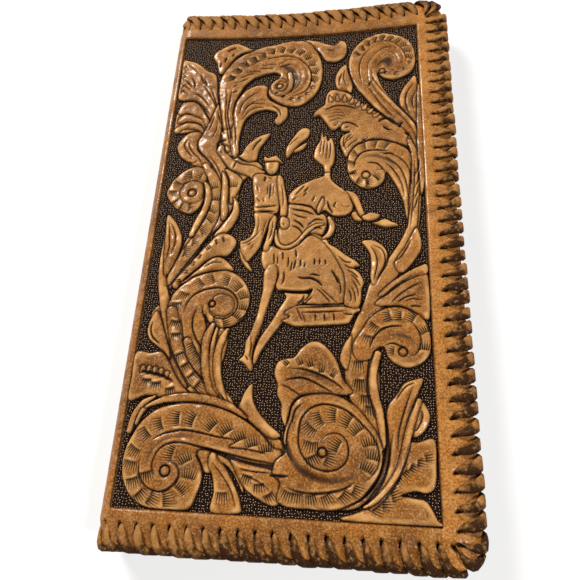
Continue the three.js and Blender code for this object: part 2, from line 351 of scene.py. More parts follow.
class Relief:
    """The height of the carved field, and how its cuts and stamps lie, on a grid."""

    def __init__(self, us: np.ndarray, vs: np.ndarray) -> None:
        """Starts with bare matted ground on a grid of u and v.

        Args:
            us: The places of the grid's columns.
            vs: The places of its rows.
        """
        self.us, self.vs = us - FIELD_LEFT, vs - FIELD_BOTTOM
        u, v = np.meshgrid(us, vs)
        self.x, self.y = u - FIELD_LEFT, v - FIELD_BOTTOM + bow(u, v)
        self.height = np.full(self.x.shape, GROUND_LEVEL)
        self.ground = np.ones(self.x.shape)
        self.cut, self.fan, self.lines, self.owner, self.shade = np.zeros((5, *self.x.shape))

    def window(self, line: np.ndarray, margin: float) -> Window:
        """Rows and columns of the grid that a line and a margin round it cover."""
        low, high = line.min(0) - margin, line.max(0) + margin
        columns = np.searchsorted(self.us, (low[0], high[0]))
        rows = np.searchsorted(self.vs, (low[1], high[1] + TOP_BOW))
        return slice(*rows), slice(*columns)

    def lie(self, line: np.ndarray, margin: float) -> tuple[Window, Nearness]:
        """The window of the grid round a line, and how it lies to the line."""
        where = self.window(line, margin)
        return where, near(self.x[where], self.y[where], line)

    def numbers(self) -> dict[str, np.ndarray]:
        """What the mesh carries at each point for its finish, by name."""
        cell = self.us[1] - self.us[0]
        crest = self.height - blurred(self.height, round(CREST_REACH / cell))
        # Hollows: stain that gathers in recesses, partly painted shade there, and the painted shade of
        # troughs
        hollow = blurred(self.height, round(HOLLOW_REACH / cell)) - self.height + TROUGH_SHADE * self.shade
        # The dark of the cuts holds the knife cuts and also painted shade round the foot of each eye
        return {"cut": self.cut, "ground": self.ground, "crest": crest, "hollow": hollow, "fan": self.fan,
                "lines": self.lines}

    def work_unevenly(self) -> None:
        """Gives the whole field the slight unevenness of handwork."""
        chance = np.random.default_rng(UNEVEN_SEED)
        for length in UNEVEN_ROUNDS * UNEVEN_LENGTHS:
            angle, start = chance.uniform(0, math.tau, 2)
            run = self.x * math.cos(angle) + self.y * math.sin(angle)
            self.height += UNEVEN_HEIGHT * np.sin(run * math.tau / length + start)

    def raise_pad(self, where: Window, depth: np.ndarray, profile: np.ndarray, edge: float) -> None:
        """Lays a raised pad over what is there and bevels the leather down round it.

        Args:
            where: The window of the grid.
            depth: Distance inside the pad's edge, negative outside it.
            profile: The pad's height.
            edge: How dark the knife line round the pad is.
        """
        fall = np.clip(1 + depth / BEVEL_WIDTH, 0, 1)
        beaten = np.maximum(self.height[where] - BEVEL_DEPTH * fall**2, GROUND_LEVEL - GROUND_BEAT)
        self.height[where] = beaten + (profile - beaten) * np.clip(depth / PAD_WALL + 0.5, 0, 1)
        line = edge * bell(depth + LINE_OUT, LINE_WIDTH)
        self.cut[where] = np.where(depth > LINE_WIDTH, 0, np.maximum(self.cut[where], line))
        bare = 1 - np.clip(depth / PAD_WALL + PAD_COVER, 0, 1)
        for values in (self.ground, self.fan, self.owner, self.shade):
            values[where] *= bare

    def carve(self, where: Window, distance: np.ndarray, width: np.ndarray | float,
              depth: np.ndarray | float) -> None:
        """Cuts a groove along a line.

        Args:
            where: The window of the grid.
            distance: Distance from the line.
            width: The groove's width.
            depth: The groove's depth.
        """
        groove = bell(distance, 0.5 * width)
        self.height[where] -= depth * groove
        self.cut[where] = np.maximum(self.cut[where], groove * np.clip(depth / DARK_DEPTH, 0, 1))


class Mark(Protocol):
    """Anything that a tool leaves in the leather."""

    def press(self, relief: Relief) -> None:
        """Works the mark into the relief."""


@dataclass(frozen=True)
class Lobe:
    """A raised pad inside a closed outline, such as a leaf."""

    outline: str
    crown: float = 0.28
    rim: float = 2.2
    level: float = LEAF_LEVEL
    edge: float = 0.85

    def press(self, relief: Relief) -> None:
        """Lays the pad into the relief.

        Args:
            relief: The field.
        """
        line = smooth_line(points_of(self.outline), True)
        where, lie = relief.lie(line, BEVEL_WIDTH)
        depth = lie.distance * np.where(inside(relief.x[where], relief.y[where], line), 1, -1)
        rise = SHOULDER_HEIGHT * rounded(depth / SHOULDER_WIDTH) + self.crown * rounded(depth / self.rim)
        relief.raise_pad(where, depth, self.level + rise, self.edge)


@dataclass(frozen=True)
class Band:
    """A raised ribbon along a curve, with a width at each of its points."""

    path: str
    half_widths: str
    crown: float = 0.25
    level: float = LEAF_LEVEL
    edge: float = 0.85

    def press(self, relief: Relief) -> None:
        """Lays the ribbon into the relief.

        Args:
            relief: The field.
        """
        line = smooth_line(points_of(self.path), False)
        widths = np.array([float(width) for width in self.half_widths.split()])
        where, lie = relief.lie(line, widths.max() + BEVEL_WIDTH)
        run = lengths(line)
        width = np.interp(lie.along, run[::CURVE_STEPS] / run[-1], widths)
        share = np.clip(lie.distance / np.maximum(width, NARROWEST), 0, 1)
        rise = (SHOULDER_HEIGHT + self.crown) * np.sqrt(1 - share**2)
        relief.raise_pad(where, width - lie.distance, self.level + rise, self.edge)


@dataclass(frozen=True)
class Cuts:
    """Knife cuts, written with semicolons between them.

    Each is widest in its middle, beaten down on its left and lipped on its right.
    """

    paths: str
    width: float = 0.55
    depth: float = 0.3
    bevel: float = 0.22

    def press(self, relief: Relief) -> None:
        """Cuts the lines into the relief.

        Args:
            relief: The field.
        """
        for path in self.paths.split(";"):
            line = smooth_line(points_of(path), False)
            where, lie = relief.lie(line, BEVEL_WIDTH + self.width)
            taper = tapered(lie.along)
            fall = self.bevel * np.clip(1 - lie.distance / BEVEL_WIDTH, 0, 1) ** 2
            lip = CUT_LIP * bell(lie.distance - CUT_LIP_OUT, LIP_WIDTH)
            relief.height[where] -= taper * np.where(lie.side > 0, fall, -lip)
            width = self.width * (CUT_TIP + (1 - CUT_TIP) * taper)
            relief.carve(where, lie.distance, width, self.depth * taper)


@dataclass(frozen=True)
class Trough:
    """A shallow hollow along a curve, pressed smooth with a spoon, with painted shade along it."""

    path: str
    width: float = 3.0
    depth: float = 0.34

    def press(self, relief: Relief) -> None:
        """Presses the hollow into the relief.

        Args:
            relief: The field.
        """
        line = smooth_line(points_of(self.path), False)
        where, lie = relief.lie(line, self.width)
        dip = tapered(lie.along) * bell(lie.distance, 0.5 * self.width)
        relief.height[where] -= self.depth * dip
        # Painted shade along the trough, which the finish darkens with the hollows
        relief.shade[where] = np.maximum(relief.shade[where], dip)


@dataclass(frozen=True)
class Fans:
    """Stamped shading: stepped fans of fine lines, deep on the side of a scroll's eye.

    Each point gets a fan; with a count, so many fans are spread evenly along a line through the points.
    """

    places: str
    toward: Point
    lines: int = 4
    length: float = 2.2
    turn: float = 85.0
    pitch: float = 0.72
    depth: float = 0.2
    count: int = 0

    def press(self, relief: Relief) -> None:
        """Stamps the fans into the relief.

        Args:
            relief: The field.
        """
        spots = points_of(self.places)
        if self.count:
            line = smooth_line(spots, False)
            run = lengths(line)
            stops = np.linspace(0, run[-1], self.count)
            spots = np.stack([np.interp(stops, run, line[:, k]) for k in (0, 1)], -1)
        for spot in spots:
            aim = np.array(self.toward) - spot
            angle = math.atan2(aim[1], aim[0]) + math.radians(self.turn)
            self.stamp(relief, spot, np.array([math.cos(angle), math.sin(angle)]))

    def stamp(self, relief: Relief, spot: np.ndarray, along: np.ndarray) -> None:
        """Stamps one fan.

        Args:
            relief: The field.
            spot: Where the fan stands.
            along: The way that its step faces.
        """
        width = FAN_SPREAD * self.lines * self.pitch
        ramp = FAN_RAMP * self.length
        hub = spot + along * (0.5 * self.length + FAN_HUB)
        where = relief.window(np.array([spot, spot]), ramp + width)
        x, y = relief.x[where] - hub[0], relief.y[where] - hub[1]
        beyond = np.hypot(x, y) - FAN_HUB
        angle = np.arctan2(x * along[1] - y * along[0], -(x * along[0] + y * along[1]))
        share = beyond / ramp
        turned = angle * (FAN_HUB + FAN_LINE_AT * self.length)
        across = np.clip(1 - (2 * turned / width) ** 4, 0, 1)
        slope = np.clip(1 - share, 0, 1) ** FAN_FALL * np.clip(1 + beyond / FAN_WALL, 0, 1)
        lip = bell(beyond + FAN_LIP_OUT, LIP_WIDTH) * (beyond < 0)
        relief.height[where] -= across * self.depth * (FAN_DEPTH * slope - FAN_LIP * lip)
        relief.fan[where] = np.maximum(relief.fan[where], across * slope)
        step = FAN_EDGE * across * np.clip(4 * slope - 3, 0, 1)
        relief.cut[where] = np.maximum(relief.cut[where], step)
        claim = np.clip(FAN_CLAIM_ACROSS - np.abs(2 * turned / width), 0, 1)
        claim *= np.clip(FAN_CLAIM_ALONG - np.abs(share - FAN_HEART), 0, 1)
        mine = claim > relief.owner[where]
        relief.owner[where] = np.where(mine, claim, relief.owner[where])
        relief.lines[where] = np.where(mine, turned / FAN_LINE, relief.lines[where])


@dataclass(frozen=True)
class Fingers:
    """A scalloped edge: a row of short rounded fingers that point at a spot."""

    tips: str
    toward: Point
    length: float = 2.0
    half_width: float = 0.8
    root_share: float = 0.2
    crown: float = 0.3

    def press(self, relief: Relief) -> None:
        """Lays the fingers into the relief.

        Args:
            relief: The field.
        """
        for tip in points_of(self.tips):
            away = tip - np.array(self.toward)
            root = tip + away * self.length / np.hypot(*away)
            path = f"{root[0]},{root[1]} {tip[0]},{tip[1]}"
            Band(path, f"{self.root_share * self.half_width} {self.half_width}", self.crown).press(relief)


@dataclass(frozen=True)
class Eye:
    """A round bead in a stamped ring, at the heart of a scroll, with painted shade round its foot and a
    painted highlight on its top.
    """

    centre: Point
    radius: float
    margin: float = 1.0
    level: float = LEAF_LEVEL - 0.25
    settle: float = 0.6
    dome: float = 0.5
    wall: float = 0.3
    ring_width: float = 0.6
    ring_depth: float = 0.35
    foot_shade: float = 0.75
    top_highlight: float = 0.8

    def press(self, relief: Relief) -> None:
        """Stamps the bead and its ring.

        Args:
            relief: The field.
        """
        where = relief.window(np.array([self.centre, self.centre]), self.radius + self.margin)
        distance = np.hypot(relief.x[where] - self.centre[0], relief.y[where] - self.centre[1])
        dome = np.sqrt(np.clip(1 - (distance / self.radius) ** 2, 0, 1))
        bead = np.clip((self.radius - distance) / self.wall + 0.5, 0, 1)
        height = relief.height[where]
        relief.height[where] += bead * (self.settle * (self.level - height) + self.dome * dome)
        relief.carve(where, distance - self.radius, self.ring_width, self.ring_depth)
        # Painted shade and highlight: the bead is darkened towards its foot and left light on its top, laid
        # into the dark of the cuts
        dark = self.foot_shade * bead * (1 - self.top_highlight * dome)
        relief.cut[where] = np.maximum(relief.cut[where], dark)


STEM_OUTLINES = (
    "1.6,117.2 2.4,128.6 8,131 14,137 16.4,141 19,133 21.6,124 24,112 25.4,105.4 31,104 33,100.6 27,97 "
    "25.6,90 22,82 17,76 12,66 8,60 6.4,64 10,74 14.6,86 15,97 9,103 11.6,108 10.6,116",
    "3.4,52 7,56 13,56 20,50 26,48.6 27,44 26,36 28,30 31,25.6 20,26 8,28.4 9,38 5,45",
    "62.6,36 63,44 68,55 72,64 78,78 80,90 81.4,108 76,118 70,124 78,120 82,112 82.4,96 81,80 78,70 72,58 "
    "69,44 69,30 66,26",
    "30,12 44,9 46,4 62,2.6 72,9 75,20 79,30 77,34 71,27 70,14 64,5 50,3 44,18 34,20",
)
STEM_BASES = tuple(Lobe(outline, STEM_CROWN, STEM_RIM, STEM_LEVEL) for outline in STEM_OUTLINES)

UPPER_LEFT = (
    Lobe("14.6,141.5 13.6,145.5 11.8,149 12.6,151 15,153 18,154.6 20.5,154.6 23.5,153 26.2,151.2 23,150.3 "
         "20.5,148.6 18.5,145.5 16.8,141.5"),
    Cuts("16.8,150.8 18.3,152 20.2,152.3", 1.3, 0.35),
    Cuts("19.6,149.9 18.6,148.6"),
    Cuts("16.8,148.4 16.2,146", 0.9),
    Cuts("15,146 14.8,143.8", 0.7),
    Band("18.7,131 19,124 20.5,116 22,108", "2.6 2.8 2.7 1.8"),
    Lobe("0.6,147.9 4,147.5 7,146 10.5,142.8 13.5,141 14.8,136 15.3,131 16.8,124 17.5,117 15,117 12,122.5 "
         "9.5,127 7,129.5 3.5,130 0.7,131.5 0.7,140"),
    Fans("1.6,145 1.6,142.8 1.6,140.6 1.6,138.4 1.6,136.2 1.6,134", (12, 130), 2, 1.6, 0),
    Cuts("3,145.8 6,143 7.5,141.5", 0.4),
    Cuts("8,141.3 9,138.5 10.2,136.6", 0.8),
    Cuts("9.7,139 11,135.5; 2.2,139.3 4.5,137 6,135.2; 7.5,129.8 11,126.5 13.6,122.5", 0.5),
    Cuts("4.6,140.3 6.2,137.5 6.5,134.6", 0.6),
    Cuts("2.4,136.6 5.2,134.2; 2.2,134.4 4.7,132.2", 0.45),
    Cuts("6.2,133 9.5,131 13,126.5; 10,135.7 13.5,130 15.6,125; 12.6,134.5 14.6,129 16.4,123.5"),
    Lobe("1.2,117.4 3,119.4 5.5,120.6 9,120.2 12,118 14.5,115 12.5,114 10,117 7,118 4.2,117.6 2.5,116.2"),
    Lobe("2.4,122.5 4,124 6.5,124 10,122.6 13,119.8 15.5,116.5 13,116 10.5,119.6 6.5,120.8 3.8,120.2 "
         "2.2,120.8"),
    Lobe("2,126 3,128.2 5,129.4 8,128.8 11,125.5 13.5,121 16,117 13,117.5 11,121.5 8,123.2 5,124.4 3,123.8 "
         "1.9,124.6"),
    Cuts("9.4,127.4 11.4,124.6 13.6,120.6", 0.45),
    Lobe("21.5,118 21.2,123 21.8,128 24,132 27,134.5 30.5,135.3 32.6,134 32.6,131 33.8,128.6 37.8,126 "
         "39.8,125 39.9,121.5 38.5,119.4 36.8,118.4 35.6,120 36.6,121.8 36,123.4 33.5,124.4 30.5,124.3 "
         "27.5,123 25.6,120.5 24.8,117 24.3,112 24.7,107.5 23,106 21.5,112"),
    Cuts("23.2,122 24.5,127.5 27.8,131 30.8,132", 0.6),
    Cuts("24.6,122 26,126 29.5,128.4 32.5,128.4; 37.9,121.2 37,124 34.6,126.3"),
    Cuts("25,124.5 27.5,127 31,126.8 32.5,126.4", 0.5),
    Cuts("24.8,120.5 26.4,123.5 29,125.2 32,125.2", 0.45),
    Lobe("17,118 16.2,128 15.3,134 15.5,138.5 17,142.5 20,147 25,150.4 30,152.3 36,153.7 41,154.4 45,153.8 "
         "48.3,150.2 50.4,145.5 51.2,140 50.4,133.5 48,128.9 44.5,126.1 41,125.6 38,126.4 34.4,129 32.8,132 "
         "33.3,134.8 34.8,136.8 36.3,138.2 36.3,139.6 34,140.4 30.5,139.6 27,138 24.6,135.5 23.6,133.4 "
         "22,129 21.3,124 21.5,118", 0.32, 3),
    Lobe("36.4,143 39,144 42,142.5 43.8,139 43.3,135 41,132.3 40.2,135 39.9,138.5 38,140.3",
         -0.55, 2.6, -0.35, 0.3),
    Cuts("24,142 27,144.6 30,146.2 34,147 38,147.3 42,146.4 44.5,144.3 46.5,141.5 47.4,138 47,134 45.2,131.2 "
         "42,129.9 40,129.6", 0.6, 0.36),
    Band("36.8,143.8 40.5,144.9 44,142.3 45.3,138 44,133.8 41.3,131.3", "0.6 1 1 1 0.9 0.5", 0.2, edge=0.2),
    Band("39.9,139.5 40.5,136 40,133 38.6,131.3 36.6,131.2 34.9,132.5 34.3,134.5 35.6,136.3 37.3,136.9 "
         "38.6,136", "0.8 0.9 0.9 0.9 0.9 0.9 0.8 0.7 0.6 0.4", 0.25),
    Eye((36.8, 134.2), 1.1),
    Fans("19.4,138.6 22.6,143 25.8,145.6 29,147.6 33,149.8 38,150.2 43,149 46.6,145.6 48.5,141 48.6,136.4",
         (39, 138), 3, 2.2, 60, 0.75, 0.42, 13),
    Fans("48,132.8 45.6,129.4 42,128.2 38.5,129.2 35.8,131", (41, 138), 2, 1.3, 40, 0.55, 0.3, 6),
    Cuts("30,143.3 33,143.9 35.5,143.2; 24.5,140.7 28,141.1 30,140.7; 22.5,138.3 26,139.8 27.5,140.2; "
         "20.3,136.2 23.5,137.2 25.5,138; 18.2,134 18.6,128 18.9,122 20.2,116 21.6,109.5; 16.9,124.5 "
         "17.7,119.5 18.8,115", 0.5),
    Cuts("28.5,142.2 31,142.2 34.5,141.9"),
    Cuts("20.3,134.5 22.3,135.5; 21.6,122 22.8,116 23.4,110", 0.45),
    Cuts("20.3,132 22.3,133; 18,137 19.6,138.6 21.6,139.4", 0.6),
    Cuts("20.2,134 19.8,130 19.4,124 20.8,117 22.7,110.5", 0.55),
)

UPPER_RIGHT = (
    Lobe("44.5,154.3 48,153.9 51,152.8 53.4,151.6 55,151.2 56,152 57.3,153.4 58.8,152.6 59.4,150 59,147 "
         "57.6,145 55.5,144 53,144.2 51.3,145.6 50.2,147.8 48.3,150.2", 0.35),
    Cuts("52,149.5 54,148.9 55.5,149.5", 1.8, 0.2, 0),
    Lobe("58.2,142 56.6,140 55.6,137 55.7,134 56.6,131.5 59,131 61,130.3 61.4,134.5 60,138.5 59.4,142"),
    Cuts("57.9,138.6 57,136.3 56.8,133"),
    Cuts("58.6,140 58.4,136 59.6,132.5", 0.4),
    Lobe("53,130.2 54.6,131.6 57,131.4 60,130 63,127 66.5,124 70.5,121 75,117.5 79.5,113.5 80.5,108 76,109 "
         "71,110.8 66.5,111 62.5,109.2 60.6,106 59.4,105 58.3,107 57.6,109.5 57.2,111 58.7,113.3 60.6,114.4 "
         "58,115 57.4,116.6 55,115.4 53,118 51.5,120.3 50.3,121.4 48.7,121 49.4,123.3 52,125.5 52.4,127.5"),
    Cuts("63.8,122.6 62,123.6 59,124.7 55.5,124.7 53,123.6 51.6,124.2", 0.6),
    Fingers("54.4,127.2 56.6,127.4 58.9,127 61.2,126 63.2,124.8 65.2,123.4 67,121.9 68.8,120.3", (59, 112)),
    Cuts("52.6,122.4 55.5,123.2 58.5,122.8; 53,121.1 56,122 59,121.5; 53.3,119.8 56.5,120.7 59.5,120; "
         "54,118.4 56.6,119.3 58.5,119", 0.4, 0.22),
    Cuts("55.3,116.5 57,118.3; 58.8,115.7 60.4,116.3; 58.4,108 59.4,110.4 62,112.3; 64.5,110.8 66.5,112; "
         "75.9,115.4 77,115.9 77.2,116.9; 77.6,112.9 78.6,112.2 79.4,113.2", 0.5),
    Cuts("63.6,115.4 62.2,117 60,117.9 58.2,117.6 57.7,116.2; 60,107.6 60.8,109.3 63.5,111.5", 0.6),
    Cuts("59.2,110.8 60,112.2 61.3,113.5", 0.7),
    Cuts("75.6,115.8 74,117.8 72.6,119 71,118.6 70.3,117.3"),
    Cuts("71,115.5 73,114", 0.4),
    Lobe("82.3,135.4 79.6,133.6 77.6,130.5 76.5,127 76.8,123.5 78.5,120 81,117 82.3,117"),
    Cuts("79.8,120 78.5,124.4 79,129 81.6,133", 0.6),
    Cuts("81,121.6 80.6,126 82,130", 0.5),
    Lobe("79.5,112 75,117.5 71,120.8 66.2,126.8 63,131.4 61,136 60,141 60.2,145 61.5,148.8 64,152.2 67,154.4 "
         "71,155.6 75,155 79,153 81.5,149.5 82.3,145 82,141 80.2,137.6 77,135.7 74,135.2 71,136.4 69.7,138.6 "
         "69.8,136.2 71.4,131.6 75,125.6 79.2,120 82,114.4 82.6,108 81,106", 0.32, 3),
    Cuts("66,149.5 67.5,150.6 70,151.5 73.5,151.5 76.3,149.8 78.3,147 79.1,143.8 78.8,142"),
    Cuts("64.7,133.5 63.8,137 63.6,141 64.6,145 66.5,147.7 68.7,149", 0.5),
    Cuts("66.8,134.3 66.9,132", 0.9),
    Cuts("75.5,118.3 71,124 67,131 65,134", 0.45),
    Band("67.4,136.4 68.6,133 72,127.6 76.4,121.8 80,116.8 81.8,112 82.2,107",
         "0.3 0.7 0.8 0.8 0.8 0.7 0.3", 0.4),
    Cuts("74.5,116.8 70,121.6 66.4,126.4 63.6,131", 0.4),
    Lobe("68.6,140 69.3,143 71.3,145 73.8,145.5 75.4,143.8 75,141 73,139.6 71.4,141.5 70.4,140",
         -0.5, 2.2, -0.35, 0.25),
    Band("67.4,135 67.1,139 67.6,142.5 69.5,145.6 72.3,147.6 75,147.5 77,145.3 77.3,142.3",
         "0.7 0.8 0.9 1 1.1 1.1 1 0.7", 0.28, edge=0.2),
    Eye((71.2, 138.7), 1.0),
    Fans("62.6,146.4 65.2,150 68.4,152.8 72.2,153.6 76.2,152.2 79.4,148.8 80.6,144.4",
         (71.5, 143), 3, 1.9, 60, 0.75, 0.42, 10),
    Fans("80.4,142 78.4,138.6 75.4,137 72.4,137.6", (72.5, 142), 2, 1.2, 40, 0.55, 0.28, 4),
)

LEFT_SIDE = (
    Lobe("3.5,110 4,113 6,115.4 8.5,116.6 11.3,116 11.8,113 10.7,110 12,107.5 16,103.5 15,101.5 12,101.8 "
         "9,104 5.5,106.4"),
    Cuts("6.8,113.2 6,111.5 6.6,109.5 9.5,106; 7.6,112.6 7.8,110.5 9.3,108 11.5,105.8 13,103", 0.6),
    Cuts("8,104.8 10,104 11.5,104.8", 0.4),
    Lobe("11.4,115 10.4,112 11.2,109 13.6,106.4 16.4,103 18.6,99 20,95 21.8,94.6 22.2,98 21.2,102 19.4,105.6 "
         "17.8,108.6 17.2,111 17.8,113.6 18,118 17,124 15.8,128 14.6,124 13,119", 0.24, 3),
    Cuts("13.4,116.4 14.4,119.4 15,122.6; 17.4,119.6 16.6,122.4 15.8,125; 18.6,108.4 20.4,105.6 21.6,102.4",
         0.5),
    Cuts("15.2,113.6 16.2,117 16.4,121; 14.8,106.4 17.4,103.4 19.4,99.4 20.6,95.6", 0.45),
    Cuts("20.4,112.6 18.6,112.8 17.4,111.6 17.2,110", 0.6),
    Lobe("9.2,102.2 6,100 3.6,97 2.3,93 3.5,90.3 5.5,87.8 8.3,86 11,85.3 13.2,86.8 14.4,88.7 15,92 14.6,95 "
         "15.2,98 15,101 12,102.6"),
    Lobe("6.8,93 7.6,95.6 9.3,97 11.5,97.2 13.8,96 14.6,93.5 14,90.5 12,89 9.5,89.2 7.6,90.8", 0.3),
    Eye((10.8, 92.7), 1.4),
    Fans("9,99 12.4,99 5.4,95.8 4.4,92.4 6.2,89 8.6,87.6 11.4,87.4", (10.8, 92.7), 4, 1.9),
    Band("7,62 10,68.5 13.3,74 16.5,79.5 18.3,84 18.8,89 18.5,94 17,98.5 14,103",
         "1 1.7 1.9 2 1.9 1.8 1.9 1.7 1"),
    Fans("18.2,83.2 16.4,79 14.1,75.4 11.8,71.8 18.4,86.5 18.8,90.8 17.8,95", (8, 88), 4, 1.8, 70),
    Band("12.5,78 14,82.5 15.8,87 16.3,91 15.7,94.5 14.8,96.3", "1 1.1 1.1 1.1 1 0.5", 0.35),
    Lobe("20.8,101.5 24,100 26.6,97.5 26.5,95 25,91 23.8,88.5 23,92 22.6,97"),
    Fans("24,95.5", (24, 90), 4, 1.8, 0),
    Lobe("20,100.5 22,97.5 22.7,93 22.7,89 23.2,86 22.6,83.2 21.4,83 20.6,87 20.3,92 20.2,96", 0.42, 1.2),
    Band("21,77.5 23.5,81 25.5,85 25.5,88.5 24.7,90.5", "1.4 1.5 1.2 0.8 0.3", 0.35),
    Lobe("5.2,53 3.7,51 3,47.5 4,44.6 6.5,42.6 9.3,40.5 11,39 9.8,44 7.5,49"),
    Cuts("7.5,43 5,45.2 4.1,47.5 4.5,49.8", 0.8),
    Band("4.6,76 4.6,69 5.4,62 7.2,55.5 9.5,49 12,43 15.5,37 19.5,30.5 22,28",
         "0.9 1.1 1.3 1.7 1.8 1.7 1.5 1.2 0.6", 0.3),
    Lobe("3.7,84.8 6.3,83 8.6,79.3 9.7,75.6 9.3,71.5 7.8,67 6,64 5,68 4.2,76"),
    Cuts("4.8,82.2 5.4,78 5.9,73.5 5.2,68; 5.3,81.8 7,79 7.6,75.5 7,71", 0.5),
    Lobe("8.5,61.5 11.5,66 15,70.8 18.3,75 20.6,77.6 23.3,78.2 25.8,77 26.9,75 26,72.6 24.3,70.6 21.5,70.4 "
         "18.5,69.2 16,67 12,63.2 10,60", 0.4),
    Fans("18.2,73.4 15.6,70.4 13.9,68 12,65.2 10.2,62.2", (24, 66), 2, 1.5, 0, 0.6, 0.26),
    Cuts("20.3,76.2 21,74", 0.7),
    Cuts("22.4,77 23.2,74.8", 0.8),
    Lobe("10.5,61.5 13,63.5 16.5,67 19.5,69.7 22,70.3 24.5,69 26.8,66.2 25,65.8 20,65.5 15,64 12,61.8"),
    Cuts("17.8,66.8 20.5,68.4 23.6,68.2", 0.5),
    Lobe("8.5,56 9.5,58.8 12,61.6 15,63.8 20,65.4 25,65.8 29,63.8 31.8,60 32.4,56 31.5,52.5 29,49.6 26,48.3 "
         "23,48.6 21,49.8 19.6,52 20.6,47 20.5,41 22.5,34 18,34 14,40 11,44 9.5,49 8.3,53", 0.32, 3),
    Cuts("20.2,54.4 21.2,52.4 23,51.1 25.5,50.9 27.6,52 28.9,54 28.8,56.5 27,58.9 24,60.2 20.5,60.1 "
         "17.5,59.2 15,57.2 13.6,54.5 13.3,52", 0.65, 0.38),
    Lobe("22,57.4 24,58.3 27,57.3 28,55 27,52.6 25,51.7 22.6,52.2 20.9,54", -0.2, 1.8, -0.2),
    Eye((21.4, 55.3), 1.0),
    Fans("12.8,57.4 17,61.2 20.2,62.8 24.8,62.4 28.4,60.6 30.6,58 30.9,54.6 29.4,52 26.4,49.7 23.2,49.8 "
         "10.8,54.3", (24, 55.5), 4, 2),
    Cuts("20.2,40 19.5,42.5 17.8,45 16.5,48 16.4,51.5 17.3,54", 0.75, 0.36),
    Cuts("20,50.8 19,52.5 18.8,55", 0.4),
    Cuts("22,34.4 19,37 16,41.5 14.2,45 13.4,48.2 12.8,50.5 12.5,53"),
    Lobe("17,30.5 21,28.3 27,27 31.3,25.3 30,28 26.5,32.5 24.8,37 23,35 20,33", edge=0.4),
    Cuts("27.2,29 27,27.4", 0.8),
    Band("9.6,53 10.6,49.5 11.6,45.5 13.2,41.5 15.4,37.5 18,34 21,31 23,29.5",
         "1.6 1.8 1.7 1.7 1.7 1.6 1.5 1"),
    Fans("10.9,49 11.8,45.2 14,39.6 16.1,36.6 18.3,33.9 20.4,31.4", (26, 52), 4, 1.9, 70, 0.66, 0.28),
    Band("15.4,44 17,40.5 19.5,37 22.3,34.2", "1.2 1.5 1.5 1.1", 0.1),
    Fans("16.6,42 18,39.6 19.8,37.2 21.3,35.6", (30, 46), 4, 2.4, 20, 0.6, 0.12),
    Band("26.4,27 24,31 22,36 20.9,42 21.2,46 22.4,49", "0.2 1.6 1.5 1.2 1.2 0.7"),
    Band("27.4,27.6 25,32 23.6,37 22.9,43 23.7,48", "0.2 0.9 0.9 0.7 0.4"),
    Band("28.6,27.4 26.2,31.6 25,36 24.6,41 25.5,45 26.8,47.8", "0.2 1 1.1 1 1.1 0.4"),
    Lobe("0.4,40.6 5,40.6 8,41 10.5,38.5 13,34.5 15.5,31.5 18,29 14,28 9,28.2 5.5,28.5 0.5,27.2 0.3,34"),
    Cuts("13,32.4 10,34 6.5,34.8 3.2,35.3", 1.2, 0.42),
    Fingers("3.6,36.2 5.4,36.2 7.2,35.9 9,35.5 10.8,34.8", (9, 50), 1.4, 0.75),
    Fans("5.2,32 8.2,31.2 12.4,29.8", (5, 60), 4, 1.7, 0, 0.62, 0.32),
    Band("2.3,19 3.2,23 5.2,26.5 8.2,28.3", "0.7 1 0.9 0.4"),
    Band("4,21 5.3,24.5 7.8,26.8", "0.5 0.6 0.3"),
)

